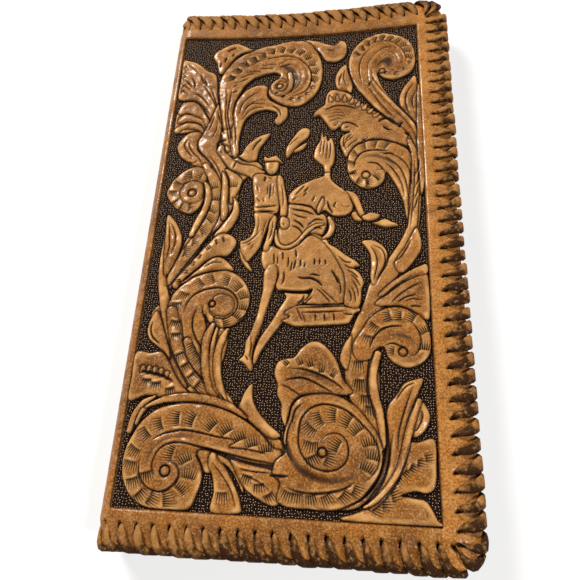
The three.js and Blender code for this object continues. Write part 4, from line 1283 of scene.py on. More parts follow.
class Finish:
    """What a piece is made of; each kind makes its material once."""

    slot: str
    made: dict[str, bpy.types.Material] = {}

    def material(self) -> bpy.types.Material:
        """The finish's material, made the first time it is asked for."""
        key = f"{type(self).__name__} {self.slot}"
        if key not in self.made:
            shader = Shader(key)
            self.build(shader)
            self.made[key] = shader.material
        return self.made[key]

    def build(self, shader: Shader) -> None:
        """Makes the material; each finish has its own way."""
        raise NotImplementedError


@dataclass(frozen=True)
class TooledLeather(Finish):
    """Carved, dyed and oiled leather with a dark matted ground."""

    slot: str = "tooled_leather"
    tan: Colour = srgb(156, 101, 44)
    pale: Colour = srgb(204, 155, 96)
    warm: Colour = srgb(156, 98, 34)
    brown: Colour = srgb(84, 48, 19)
    stain_and_shade: Colour = srgb(40, 22, 10)
    cut: Colour = srgb(13, 7, 4)
    ground: Colour = srgb(24, 12, 7)
    speck: Colour = srgb(232, 196, 158)
    side_tone: Colour = srgb(196, 132, 62)

    # Dyed colour and painted light: warmer towards the lower right, cloudy, lighter and more orange along the
    # laced side, and a painted pool of light round a spot
    warm_across: float = 6.0
    warm_down: float = 4.0
    warm_start: float = 0.35
    clouds: Cloud = Cloud(0.35, 0.7, 0.68, 12)
    bloom: Cloud = Cloud(0.45, 0.78, 0.56, 2.2, 5)
    patches: Cloud = Cloud(0.45, 0.7, 0.3, 5, 2)
    side_patches: Cloud = Cloud(0.25, 0.6, 0.7, 3, 4)
    side_from: float = 37.4 * MM
    side_to: float = 39.4 * MM
    grain: Cloud = Cloud(0.4, 0.64, 0.6, 0.52)
    flecks: Cloud = Cloud(0.46, 0.62, 0.12, 1.1)
    dust: Cloud = Cloud(0.5, 0.68, 0.4, 0.5, 2)
    light_pool_x: float = 2 * MM
    light_pool_y: float = 8 * MM
    light_pool_reach: float = 42 * MM
    worn: Layer = Layer(0, 0.8, 0.24)

    # Stain and painted shade in the carving's hollows, wear and painted highlight on its crests, painted
    # highlight between fan lines, and the matting of its ground
    crest: Layer = Layer(0.08, 0.28)
    crest_least: float = 0.25
    crest_glow: Cloud = Cloud(0.38, 0.62, 0.55, 6, 2)
    hollow: Layer = Layer(0.02, 0.28, 0.92)
    matting: float = 0.72
    matting_chance: float = 0.6
    dot: Layer = Layer(0.05, 0.21)
    dot_share: float = 0.85
    bare: Layer = Layer(0.25, 0.75)
    fan_spread: float = 0.4
    ridge: Layer = Layer(0.3, 0.9, 0.55)
    stamped: Layer = Layer(0.2, 1, 0.62)
    line: Layer = Layer(0.25, 0.8, 0.85)
    knife_and_shade: Layer = Layer(0.2, 0.95, 0.92)

    # Gloss and grain
    rough: float = 0.78
    smoother: float = 0.3
    rough_marks: float = 0.16
    gloss: Cloud = Cloud(0.3, 0.7, 0.42, 4)
    grain_height: float = 0.34
    grain_strength: float = 0.6

    def build(self, shader: Shader) -> None:
        """Lays mottled colour with a painted pool of light, stained hollows with painted shade, crests paled
        by wear and painted highlight, dark cuts and the matted ground over one another.

        Args:
            shader: The material's nodes.
        """
        names = ("cut", "ground", "crest", "hollow", "fan")
        cut, ground, crest, hollow, fan = (shader.attribute(name) for name in names)
        wave = 0.5 + 0.5 * (shader.attribute("lines") * math.tau).cosine()
        lines, ridges = fan**self.fan_spread * wave, fan**self.fan_spread * (1 - wave)
        # Pale on the crests: partly wear of the raised leather, partly painted highlight
        light = self.crest.over(crest) * (self.crest_least + self.crest_glow.marks(shader))
        colour = shader.mix(light, self.dye_and_light(shader), self.pale)
        # Stain and painted shade in the hollows
        colour = shader.mix(self.hollow.over(hollow), colour, self.stain_and_shade)
        dots = 1 - self.dot.over(shader.cells(self.matting, self.matting_chance))
        matted = shader.mix(dots * self.dot_share, self.ground, self.speck)
        colour = shader.mix(self.bare.over(ground), colour, matted)
        # Painted highlight on the ridges between fan lines
        colour = shader.mix(self.ridge.over(ridges), colour, self.pale)
        # Fans darker towards their step: stain that the stamp holds, and painted shade
        colour = shader.mix(self.stamped.over(fan), colour, self.stain_and_shade)
        colour = shader.mix(self.line.over(lines), colour, self.cut)
        # Near-black of the knife cuts, and of the painted shade that the eyes and the lace slits carry with
        # them
        colour = shader.mix(self.knife_and_shade.over(cut), colour, self.cut)
        smooth = (1 - ground) * (1 - cut) * (1 - fan)
        rough = self.rough - self.smoother * smooth + self.rough_marks * (shader.noise(1.4, 4) - 0.5)
        gloss = smooth * self.gloss.marks(shader)
        shader.feed(shader.principled, {"Base Color": colour, "Roughness": rough, "Coat Weight": gloss,
                                        "Coat Roughness": 0.2, "Specular IOR Level": 0.05})
        grain = shader.noise(self.grain.size) * 0.5 + shader.noise(1.6) * 0.5
        shader.bump(grain + dots * ground - lines, self.grain_height, self.grain_strength)

    def dye_and_light(self, shader: Shader) -> bpy.types.NodeSocket:
        """The mottled colour, with a painted pool of light round a spot, before any carving shows.

        Args:
            shader: The material's nodes.

        Returns:
            The colour.
        """
        x, y = shader.axis("X"), shader.axis("Y")
        lower_right = (x * self.warm_across - y * self.warm_down + self.warm_start).rise(0, 1)
        colour = shader.mix(lower_right, self.tan, self.warm)
        colour = shader.mix(self.clouds.marks(shader), colour, self.brown)
        colour = shader.mix(self.bloom.marks(shader), colour, self.pale)
        colour = shader.mix(self.patches.marks(shader), colour, self.brown)
        # Lighter, more orange patches along the laced side
        near_side = x.rise(self.side_from, self.side_to)
        colour = shader.mix(near_side * self.side_patches.marks(shader), colour, self.side_tone)
        colour = shader.mix(self.grain.marks(shader), colour, self.brown)
        colour = shader.mix(self.flecks.marks(shader), colour, self.brown)
        colour = shader.mix(self.dust.marks(shader), colour, self.pale)
        # Painted pool of light: paler round a spot near the middle
        across, along = x - self.light_pool_x, y - self.light_pool_y
        inward = 1 - (across * across + along * along) * (1 / self.light_pool_reach**2)
        return shader.mix(self.worn.over(inward), colour, self.pale)


@dataclass(frozen=True)
class InnerLeather(Finish):
    """Plain smooth leather of the panels and pockets."""

    slot: str = "inner_leather"
    base: Colour = srgb(138, 92, 54)
    dark: Colour = srgb(104, 66, 38)
    clouds: Cloud = Cloud(0.35, 0.8, 0.5, 14, 6)
    pore_size: float = 0.7
    pore: Layer = Layer(0.05, 0.3)
    pore_dark: float = 0.25

    def build(self, shader: Shader) -> None:
        """Cloudy brown with a fine grain.

        Args:
            shader: The material's nodes.
        """
        colour = shader.mix(self.clouds.marks(shader), self.base, self.dark)
        pores = shader.cells(self.pore_size, 1.0)
        colour = shader.mix((1 - self.pore.over(pores)) * self.pore_dark, colour, self.dark)
        shader.feed(shader.principled, {"Base Color": colour, "Roughness": 0.45 + 0.2 * shader.noise(3)})
        shader.bump(pores + shader.noise(0.6), 0.08, 0.4)


@dataclass(frozen=True)
class LaceLeather(Finish):
    """Lacing, tan where little used and dark where used most, with painted shade down the edge and under each
    turn.
    """

    slot: str = "lace"
    tan: Colour = srgb(150, 105, 58)
    dark: Colour = srgb(50, 29, 14)
    worn: Colour = srgb(190, 148, 98)
    stain_and_shade: Layer = Layer(0.1, 0.9)
    stain_spread: float = 1.6
    wear: Cloud = Cloud(0.54, 0.7, 0.35, 1, 4)

    def build(self, shader: Shader) -> None:
        """Tan to dark by the stitch and by the painted shade that the turns carry, with pale spots of wear.

        Args:
            shader: The material's nodes.
        """
        shade = shader.attribute("dark") + (shader.noise(1.3, 5) - 0.5) * self.stain_spread
        colour = shader.mix(self.stain_and_shade.over(shade), self.tan, self.dark)
        colour = shader.mix(self.wear.marks(shader), colour, self.worn)
        rough = 0.5 + 0.25 * shader.noise(0.8)
        shader.feed(shader.principled, {"Base Color": colour, "Roughness": rough, "Specular IOR Level": 0.05})
        shader.bump(shader.noise(0.7, 4), 0.35, 0.9)


@dataclass(frozen=True)
class Thread(Finish):
    """Waxed sewing thread."""

    slot: str = "inner_leather"
    base: Colour = srgb(196, 164, 116)
    dark: Colour = srgb(150, 112, 70)
    twist: Cloud = Cloud(0.35, 0.7, 1, 0.5)

    def build(self, shader: Shader) -> None:
        """Pale thread with a darker twist."""
        colour = shader.mix(self.twist.marks(shader), self.base, self.dark)
        shader.feed(shader.principled, {"Base Color": colour, "Roughness": 0.6 + 0.2 * shader.noise(0.8)})


@dataclass(frozen=True)
class ClearSheet(Finish):
    """Clear plastic of the window."""

    slot: str = "clear_sheet"
    tint: Colour = srgb(226, 232, 232)
    smear: Colour = (0.7, 0.72, 0.72)

    def build(self, shader: Shader) -> None:
        """Clear, with faint smears in its gloss."""
        sockets = {"Base Color": shader.mix(shader.noise(20), self.tint, self.smear),
                   "Roughness": 0.06 + 0.1 * shader.noise(12), "Alpha": 0.16 + 0.08 * shader.noise(15)}
        shader.feed(shader.principled, sockets)


def distance_in(u: np.ndarray, v: np.ndarray) -> np.ndarray:
    """Distance of points inside the cover's edge, which is open towards the fold.

    Args:
        u: The points' distance from the fold.
        v: Their distance along the wallet from its middle.

    Returns:
        The distances.
    """
    reach, rise = COVER_WIDTH - u, HALF_LENGTH - np.abs(v)
    corner = (reach < CORNER_RADIUS) & (rise < CORNER_RADIUS)
    round_in = CORNER_RADIUS - np.hypot(CORNER_RADIUS - reach, CORNER_RADIUS - rise)
    return np.where(corner, round_in, np.minimum(reach, rise))


def round_corner(u: np.ndarray, v: np.ndarray) -> tuple[np.ndarray, np.ndarray]:
    """Draws the square outer corners of a grid into the cover's round ones.

    Args:
        u: The points' distance from the fold.
        v: Their distance along the wallet from its middle.

    Returns:
        The points' new places.
    """
    a = np.clip((u - COVER_WIDTH) / CORNER_RADIUS + 1, 0, None)
    b = np.clip((np.abs(v) - HALF_LENGTH) / CORNER_RADIUS + 1, 0, None)
    u = u + CORNER_RADIUS * a * (np.sqrt(1 - b * b / 2) - 1)
    v = v + CORNER_RADIUS * b * (np.sqrt(1 - a * a / 2) - 1) * np.sign(v)
    return u, v


def steps(size: float, *stops: float) -> np.ndarray:
    """Even steps from stop to stop, each about as long as size."""
    spans = zip(stops, stops[1:])
    runs = [np.linspace(low, high, max(2, round((high - low) / size) + 1)) for low, high in spans]
    return np.concatenate([runs[0], *(run[1:] for run in runs[1:])])


def nearest(values: np.ndarray, *spots: float) -> list[int]:
    """The numbers of the values that lie nearest to some spots."""
    return [int(np.argmin(np.abs(values - spot))) for spot in spots]


def ring_angles(section: int) -> np.ndarray:
    """Where so many points stand round a ring, from the side that it runs towards."""
    return np.linspace(0, math.tau, section, endpoint=False)


class Sheet:
    """A sheet of leather, worked as a flat grid and then laid into its place."""

    def __init__(self, columns: int, rows: int) -> None:
        """Starts a flat grid with so many points each way."""
        self.columns, self.rows = columns, rows
        self.mesh = bmesh.new()
        bmesh.ops.create_grid(self.mesh, x_segments=columns - 1, y_segments=rows - 1, size=0.5)

    def open_out(self, inside_hole: Callable[[float, float], bool]) -> None:
        """Cuts away the faces whose middle lies in a hole.

        Args:
            inside_hole: Tells of a place, counted in columns and rows, whether it lies in the hole.
        """
        gone = []
        for face in self.mesh.faces:
            middle = face.calc_center_median()
            column, row = (middle.x + 0.5) * (self.columns - 1), (middle.y + 0.5) * (self.rows - 1)
            if inside_hole(column, row):
                gone.append(face)
        bmesh.ops.delete(self.mesh, geom=gone, context="FACES")

    def cut_window(self, columns: list[int], rows: list[int]) -> None:
        """Cuts a window out between two columns and two rows."""
        self.open_out(lambda column, row: columns[0] < column < columns[1] and rows[0] < row < rows[1])

    def thicken(self) -> None:
        """Gives the sheet a second face, one layer below."""
        made = bmesh.ops.extrude_face_region(self.mesh, geom=self.mesh.faces[:])
        self.lower(made["geom"])

    def skirt(self) -> None:
        """Turns the sheet's rim down by one layer and closes it there with one face."""
        rim = [edge for edge in self.mesh.edges if edge.is_boundary]
        made = bmesh.ops.extrude_edge_only(self.mesh, edges=rim)
        self.lower(made["geom"])
        bmesh.ops.edgeloop_fill(self.mesh, edges=[e for e in self.mesh.edges if e.is_boundary])

    def lower(self, made: list) -> None:
        """Moves the points of what was just made down by one layer."""
        points = [item for item in made if isinstance(item, bmesh.types.BMVert)]
        bmesh.ops.translate(self.mesh, verts=points, vec=(0, 0, -1))

    def places(self) -> tuple[np.ndarray, np.ndarray, np.ndarray]:
        """Column, row and layer of every point, the layer being 0 on top and 1 below."""
        points = np.array([vert.co for vert in self.mesh.verts])
        column = np.rint((points[:, 0] + 0.5) * (self.columns - 1)).astype(int)
        row = np.rint((points[:, 1] + 0.5) * (self.rows - 1)).astype(int)
        return column, row, np.rint(-points[:, 2])

    def lay(self, points: np.ndarray) -> None:
        """Moves each point of the sheet to its place, in metres."""
        for vert, point in zip(self.mesh.verts, points):
            vert.co = point

    def finish(self, name: str, points: np.ndarray, sharp: float, numbers: dict | None = None
               ) -> bpy.types.Object:
        """Lays the sheet into its place and makes it an object.

        Args:
            name: The piece's name.
            points: Where each point lies, in metres.
            sharp: Angle in degrees over which an edge shows as sharp.
            numbers: Numbers that the mesh carries at each point, by name.

        Returns:
            The piece.
        """
        self.lay(points)
        return make_piece(name, self.mesh, sharp, numbers or {})


def make_piece(name: str, mesh: bmesh.types.BMesh, sharp: float, numbers: dict) -> bpy.types.Object:
    """Makes a worked mesh an object of the scene.

    Args:
        name: The piece's name.
        mesh: The worked mesh, which is used up.
        sharp: Angle in degrees over which an edge shows as sharp.
        numbers: Numbers that the mesh carries at each point, by name.

    Returns:
        The piece.
    """
    bmesh.ops.recalc_face_normals(mesh, faces=mesh.faces)
    data = bpy.data.meshes.new(name)
    mesh.to_mesh(data)
    mesh.free()
    for key, values in numbers.items():
        data.attributes.new(key, "FLOAT", "POINT").data.foreach_set("value", values.astype(np.float32))
    data.shade_smooth()
    data.set_sharp_from_angle(angle=math.radians(sharp))
    piece = bpy.data.objects.new(name, data)
    bpy.context.scene.collection.objects.link(piece)
    return piece


def dress(piece: bpy.types.Object, finish: Finish, nodes: Sequence[str]) -> None:
    """Gives a piece its finish, hides the imported parts of the nodes that it stands for and logs it.

    Args:
        piece: The piece.
        finish: What it is made of.
        nodes: The nodes that it stands for.
    """
    piece.data.materials.append(finish.material())
    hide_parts(*nodes)
    LOG.info("%s: %d faces", piece.name, len(piece.data.polygons))


def bend_with_fold(piece: bpy.types.Object, side: Side) -> None:
    """Bakes a piece's place into its mesh; it does not bend with the fold as the wallet opens.

    Args:
        piece: The piece.
        side: The half that it belongs to.
    """
    if side is Side.FRONT:
        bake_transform(piece)
    else:
        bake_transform(piece)


@dataclass
class Cover:
    """One half of the cover: tooled field, border frame and lining."""

    side: Side
    motifs: tuple[Mark, ...]
    step: float
    parts: int
    highest: float = 0.6
    seat: float = -1.6
    seat_skin: float = 0.15
    lining_step: float = 2.0
    fold_step: float = 0.8

    # Border: its edge at the field, its fall towards the lace and its round outer edge
    field_bevel: float = 0.9
    field_drop: float = 0.5
    field_line: float = 0.35
    field_dark: float = 0.8
    margin_start: float = 6.4
    margin_end: float = 2.2
    margin_drop: float = 0.95
    edge_round: float = 0.6
    edge_drop: float = 0.3

    # Slits for the lace, painted dark inside as shade, and darker round them: partly soil from the lace,
    # partly painted shade
    slit_length: float = 3.2
    slit_width: float = 1.1
    slit_shift: float = 0.5
    slit_depth: float = 1.3
    slit_way: Point = (0.35, 0.94)
    slit_steepness: float = 2.2
    slit_shade: float = 2.5
    soil: float = 0.45
    soil_and_shade_reach: float = 1.9

    def build(self) -> None:
        """Makes and dresses the half's leather."""
        nodes = (f"{self.side.value}_cover", "spine")
        pieces = [*self.tooling(), self.frame(), self.lining()]
        for piece in pieces:
            bend_with_fold(piece, self.side)
            plain = piece.name.endswith("lining")
            dress(piece, InnerLeather() if plain else TooledLeather(), nodes)

    def tooling(self) -> list[bpy.types.Object]:
        """The carved field.

        Returns:
            Its parts, from the bottom up.
        """
        us = steps(self.step, FIELD_LEFT, FIELD_LEFT + FIELD_WIDTH)
        vs = steps(self.step, FIELD_BOTTOM, FIELD_BOTTOM + FIELD_LENGTH)
        relief = Relief(us, vs)
        for motif in self.motifs:
            motif.press(relief)
        numbers = relief.numbers()
        relief.work_unevenly()
        ends = np.rint(np.linspace(0, len(vs) - 1, self.parts + 1)).astype(int)
        pieces = []
        for number, (first, last) in enumerate(zip(ends, ends[1:]), 1):
            sheet = Sheet(len(us), last - first + 1)
            sheet.skirt()
            column, row, layer = sheet.places()
            row = row + first
            n = np.where(layer > 0, self.seat, np.minimum(relief.height[row, column], self.highest))
            carried = {name: values[row, column] for name, values in numbers.items()}
            points = place(us[column], vs[row], n, self.side)
            pieces.append(sheet.finish(f"{self.side.value}_tooling_{number}", points, TOOLING_SHARP, carried))
        return pieces

    def frame(self) -> bpy.types.Object:
        """The border round the field, with its slits, out to the middle of the fold.

        Returns:
            The piece.
        """
        left, right = FIELD_LEFT, FIELD_LEFT + FIELD_WIDTH
        low, high = FIELD_BOTTOM, FIELD_BOTTOM + FIELD_LENGTH
        us = steps(BORDER_STEP, FOLD_END, left, right, COVER_WIDTH)
        vs = steps(BORDER_STEP, -HALF_LENGTH, low, high, HALF_LENGTH)
        sheet = Sheet(len(us), len(vs))
        sheet.cut_window(nearest(us, left, right), nearest(vs, low, high))
        sheet.thicken()
        column, row, layer = sheet.places()
        u, v = round_corner(us[column], vs[row])
        height, cut = self.frame_height(u, v)
        n = np.where(layer > 0, self.seat, height)
        # The border's dark: its field line, and the painted shade and soil in and round the slits
        carried = {"cut": cut * (layer < 1)}
        return sheet.finish(f"{self.side.value}_border", place(u, v, n, self.side), BORDER_SHARP, carried)

    def frame_height(self, u: np.ndarray, v: np.ndarray) -> tuple[np.ndarray, np.ndarray]:
        """Height of the border's face and how dark its edge and slits are.

        Args:
            u: The points' distance from the fold.
            v: Their distance along the wallet from its middle.

        Returns:
            The heights and the darkness.
        """
        inset = distance_in(u, v)
        across = np.maximum(FIELD_LEFT - u, u - FIELD_LEFT - FIELD_WIDTH)
        along = np.maximum(FIELD_BOTTOM - v, v - FIELD_BOTTOM - FIELD_LENGTH)
        out = np.where((across > 0) & (along > 0), np.hypot(across, along), np.maximum(across, along))
        height = -self.field_drop * np.clip(1 - out / self.field_bevel, 0, 1) ** 2
        height -= self.margin_drop * (1 - ease(inset, self.margin_end, self.margin_start))
        height -= self.edge_drop * np.clip(1 - inset / self.edge_round, 0, 1) ** 2
        cut = self.field_dark * np.clip(1 - out / self.field_line, 0, 1)
        lean, upright = self.slit_way
        for stitch in stitches():
            du, dv = u - stitch.u, v - stitch.v
            run = du * stitch.along[0] + dv * stitch.along[1] - self.slit_shift
            drop = du * stitch.inward[0] + dv * stitch.inward[1] - HOLE_INSET
            turned, crossed = run * lean + drop * upright, run * upright - drop * lean
            away = np.hypot(turned / (0.5 * self.slit_length), crossed / (0.5 * self.slit_width))
            open_slit = np.clip(1 - away, 0, 1)
            height -= self.slit_depth * np.minimum(1, self.slit_steepness * open_slit)
            # Painted shade in the slit, and round it soil with painted shade
            cut = np.maximum(cut, np.minimum(1, self.slit_shade * open_slit))
            cut = np.maximum(cut, self.soil * np.clip(self.soil_and_shade_reach - away, 0, 1))
        return np.maximum(height, self.seat + self.seat_skin), cut

    def lining(self) -> bpy.types.Object:
        """The plain inner layer of the cover, out to the middle of the fold.

        Returns:
            The piece.
        """
        flat = steps(self.lining_step, 0, COVER_WIDTH)
        us = np.concatenate([steps(self.fold_step, FOLD_END, 0), flat[1:]])
        vs = steps(self.lining_step, -HALF_LENGTH, HALF_LENGTH)
        sheet = Sheet(len(us), len(vs))
        sheet.thicken()
        column, row, layer = sheet.places()
        u, v = round_corner(us[column], vs[row])
        n = np.where(layer > 0, -COVER_THICKNESS, self.seat)
        return sheet.finish(f"{self.side.value}_lining", place(u, v, n, self.side), PLAIN_SHARP)


@dataclass(frozen=True)
class Stitch:
    """One turn of the lacing: where it crosses the edge, the ways along the edge and in, and its shade.

    Its drop tells how far it falls over the edge like the side's turns, its corner what it turns round.
    """

    edge: Edge
    u: float
    v: float
    along: Point
    inward: Point
    dark: float
    drop: float = 0.0
    corner: Point | None = None


def darkness(value: float, start: float, gain: float, low: float, high: float) -> float:
    """From start to start plus gain as a value goes from low to high."""
    return start + gain * float(ease(np.array(value), low, high))


def stitches() -> list[Stitch]:
    """All turns of lacing of one half.

    Returns:
        The turns along the top, down the side and back along the bottom.
    """
    made = []
    last = round((COVER_WIDTH - CORNER_RADIUS) / STITCH_PITCH)
    ends = [(i + 0.5) * STITCH_PITCH for i in range(-FOLD_TURNS, last)]
    for u in ends:
        dark = TOP_DARK[0] + TOP_DARK[1] * max(0, u / COVER_WIDTH) ** 3
        made.append(Stitch(Edge.TOP, u, HALF_LENGTH, (1, 0), (0, -1), dark))
    made.extend(corner_stitch(Edge.TOP, turn) for turn in CORNER_TURNS)
    run = HALF_LENGTH - CORNER_RADIUS
    count = round(2 * run / STITCH_PITCH)
    for i in range(count):
        v = run - (i + 0.5) * 2 * run / count
        made.append(Stitch(Edge.SIDE, COVER_WIDTH, v, (0, -1), (-1, 0), darkness(-v, *SIDE_DARK), 1))
    made.extend(corner_stitch(Edge.BOTTOM, -turn) for turn in reversed(CORNER_TURNS))
    for u in reversed(ends):
        made.append(Stitch(Edge.BOTTOM, u, -HALF_LENGTH, (-1, 0), (0, 1), darkness(u, *BOTTOM_DARK)))
    return made


def corner_stitch(edge: Edge, turn: float) -> Stitch:
    """A turn of lacing on a round corner.

    Args:
        edge: The edge that the stitch is counted to.
        turn: How far round the corner it stands, in degrees from the side; below zero at the bottom.

    Returns:
        The stitch.
    """
    out = (math.cos(math.radians(turn)), math.sin(math.radians(turn)))
    corner = (COVER_WIDTH - CORNER_RADIUS, math.copysign(HALF_LENGTH - CORNER_RADIUS, turn))
    u, v = (middle + CORNER_RADIUS * way for middle, way in zip(corner, out))
    drop = 1 - abs(turn) / 90
    return Stitch(edge, u, v, (out[1], -out[0]), (-out[0], -out[1]), CORNER_DARK[edge], drop, corner)


@dataclass
class Lacing:
    """The flat lace that whips round the edges of one half."""

    side: Side
    lift: float = 0.1
    highest: float = 0.7
    wrap_height: float = 2.0
    fold_depth: float = -2.95
    fold_sink: float = 0.6
    fold_bulge: float = -0.7

    # The lace's section, which is thicker where it goes over the edge
    section: int = 8
    rings: int = 17
    half_thickness: float = 0.52
    thin: float = 0.8
    thicker: float = 0.55
    thicker_span: Point = (-3, 0.5)
    side_round: float = 0.8
    face_round: float = 0.7

    # Where a turn is darker: from the slit to the edge and round the edge, with painted shade down the edge
    # and underneath
    wrap_dark: float = 0.45
    wrap_span: Point = (-4, -1)
    edge_span: Point = (-1.4, 0.4)
    drop_shade: float = 0.4
    drop_span: Point = (0.6, 1.6)
    under_shade: float = 0.6

    # The unevenness of handwork, from turn to turn
    seed: int = 11
    shades: Point = (-0.2, 0.2)
    leans: Point = (-0.3, 0.3)
    shifts: Point = (-0.15, 0.15)
    reaches: Point = (-0.2, 0.15)
    widths: Point = (0.88, 1.1)

    # Way of one turn: along the edge, in from it, height over the border, half width
    turn: str = ("0.1,5.7,-1.2,0.2 0.1,5.2,-0.6,0.5 0,4.4,-0.35,0.8 0,3.2,-0.1,1.05 -0.2,1.8,-0.1,1.2 "
                 "-0.7,0.7,-0.25,1.25 -1.6,-0.1,-0.5,1.4 -2.6,-0.5,-0.9,1.5 -3.6,-0.7,-1.7,1.5 "
                 "-4.4,-0.7,-2.8,1.3 -4.7,-0.2,-3.9,1.1 -4.6,1.6,-4.4,1 -4.45,4,-4.3,0.75 -4.35,5,-3.5,0.4")

    # Way of one turn on the side, where the lace drops over the edge and slants underneath
    side_turn: str = ("0.1,5.7,-1.2,0.2 0.1,5.2,-0.6,0.5 0,4.4,-0.35,0.8 0,3.2,-0.1,1.05 "
                      "-0.2,1.8,-0.1,1.3 -0.6,0.7,-0.2,1.5 -1.2,-0.3,-0.5,1.75 -1.7,-0.8,-1.3,1.9 "
                      "-2.1,-0.9,-2.4,1.9 -2.7,-0.6,-3.6,1.5 -3.4,0.6,-4.3,1.2 -4,2.6,-4.4,1 "
                      "-4.35,4.2,-4.3,0.75 -4.35,5,-3.5,0.4")

    def build(self) -> None:
        """Makes and dresses the lace of each edge."""
        chance = np.random.default_rng(self.seed)
        name = self.side.value
        for edge in Edge:
            turns = [stitch for stitch in stitches() if stitch.edge is edge]
            shades = [stitch.dark + chance.uniform(*self.shades) for stitch in turns]
            piece = self.lace(f"{name}_lace_{edge.value}", turns, shades, chance)
            nodes = [f"{name}_lacing_{edge.value}"]
            if edge is Edge.SIDE:
                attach(piece, f"{name}_half")
            else:
                bend_with_fold(piece, self.side)
                nodes.append(f"spine_lacing_{edge.value}")
            dress(piece, LaceLeather(), nodes)

    def lace(self, name: str, turns: list[Stitch], shades: list[float],
             chance: np.random.Generator) -> bpy.types.Object:
        """One edge's lace.

        Args:
            name: The piece's name.
            turns: The edge's turns of lace.
            shades: How dark each turn is.
            chance: Where the small unevenness of handwork comes from.

        Returns:
            The piece.
        """
        rows, tones = [], []
        for stitch, shade in zip(turns, shades):
            style = EDGE_STYLE[stitch.edge]
            way = (1 - stitch.drop) * points_of(self.turn) + stitch.drop * points_of(self.side_turn)
            own = smooth_rings(way, self.rings)
            over = np.clip(1 - own[:, 1] / HOLE_INSET, 0, 1)
            own[:, 0] -= (style.lean + chance.uniform(*self.leans)) * over
            own[:, 0] += chance.uniform(*self.shifts)
            own[:, 1] -= chance.uniform(*self.reaches) * over
            own[:, 3] *= style.width * chance.uniform(*self.widths)
            own[:, 2] += self.lift * self.on_top(own[:, 2])
            if stitch.u < 0:
                own[:, 2] -= self.fold_sink * self.on_top(own[:, 2])
                own[:, 2] = np.maximum(own[:, 2], self.fold_depth)
                own[:, 1] = np.maximum(own[:, 1], self.fold_bulge)
            laid = self.tube(own, stitch)
            laid[..., 2] = np.minimum(laid[..., 2], self.highest)
            rows.append(laid)
            out, down = -own[:, 1], -own[:, 2]
            # Darker or lighter round the edge by the edge's style; painted shade down the edge and on one
            # side of each turn
            tone = shade + self.wrap_dark * (ease(out, *self.wrap_span) - 0.5)
            tone += style.dark * ease(out, *self.edge_span) + self.drop_shade * ease(down, *self.drop_span)
            under = np.clip(np.cos(ring_angles(self.section)), 0, 1)
            tones.append(tone[:, None] + self.under_shade * under)
        return weave(name, np.concatenate(rows), self.rings, {"dark": np.concatenate(tones)}, self.side)

    def on_top(self, height: np.ndarray) -> np.ndarray:
        """One on the outer face, falling to nought as the lace goes down the edge."""
        return np.clip(1 + height / self.wrap_height, 0, 1)

    def tube(self, way: np.ndarray, stitch: Stitch) -> np.ndarray:
        """The rings of one turn.

        Args:
            way: The turn's way: along the edge, in from it, height and half width of each ring.
            stitch: Where the turn stands.

        Returns:
            Leather coordinates of every ring's points.
        """
        heading = np.gradient(way[:, :3], axis=0)
        heading /= np.linalg.norm(heading, axis=1, keepdims=True)
        across = np.array([1.0, 0, 0]) - heading * heading[:, :1]
        across /= np.linalg.norm(across, axis=1, keepdims=True)
        up = np.cross(heading, across)
        cosine, sine = np.cos(ring_angles(self.section)), np.sin(ring_angles(self.section))
        wide = np.sign(cosine) * np.abs(cosine) ** self.side_round
        thick = np.sign(sine) * np.abs(sine) ** self.face_round
        body = self.half_thickness * (self.thin + self.thicker * ease(-way[:, 1], *self.thicker_span))
        local = (way[:, None, :3] + across[:, None] * (way[:, 3:, None] * wide[None, :, None])
                 + up[:, None] * (body[:, None] * thick)[..., None])
        run, inset = local[..., :1], local[..., 1:2]
        along, inward = np.array(stitch.along), np.array(stitch.inward)
        if stitch.corner:
            turn = run / CORNER_RADIUS
            out = along * np.sin(turn) - inward * np.cos(turn)
            flat = np.array(stitch.corner) + (CORNER_RADIUS - inset) * out
        else:
            flat = np.array([stitch.u, stitch.v]) + run * along + inset * inward
        return np.concatenate([flat, local[..., 2:]], -1)


def smooth_rings(way: np.ndarray, rings: int) -> np.ndarray:
    """Draws a way through a few rings out smoothly.

    Args:
        way: The rings' places and half widths.
        rings: How many rings to make of them.

    Returns:
        The new rings.
    """
    line = smooth_line(way, False)
    run = lengths(line[:, :3])
    stops = np.linspace(0, run[-1], rings)
    return np.stack([np.interp(stops, run, line[:, k]) for k in range(way.shape[1])], -1)


def weave(name: str, points: np.ndarray, rings: int, numbers: dict, side: Side) -> bpy.types.Object:
    """Makes one piece of many short tubes.

    Args:
        name: The piece's name.
        points: Leather coordinates of every ring's points, ring by ring.
        rings: Rings of each tube.
        numbers: Numbers that each ring's points carry.
        side: The half that the tubes belong to.

    Returns:
        The piece.
    """
    count, section = points.shape[:2]
    sheet = Sheet(count, section + 1)
    sheet.open_out(lambda column, row: int(column) // rings != int(column + 1) // rings)
    column, row, _ = sheet.places()
    spots = points[column, row % section]
    sheet.lay(place(spots[:, 0], spots[:, 1], spots[:, 2], side))
    layers = {key: sheet.mesh.verts.layers.float.new(key) for key in numbers}
    for key, layer in layers.items():
        for vert, ring, spot in zip(sheet.mesh.verts, column, row % section):
            vert[layer] = float(numbers[key][ring, spot])
    bmesh.ops.remove_doubles(sheet.mesh, verts=sheet.mesh.verts, dist=1e-6)
    bmesh.ops.holes_fill(sheet.mesh, edges=[e for e in sheet.mesh.edges if e.is_boundary], sides=0)
    return make_piece(name, sheet.mesh, LACE_SHARP, {})


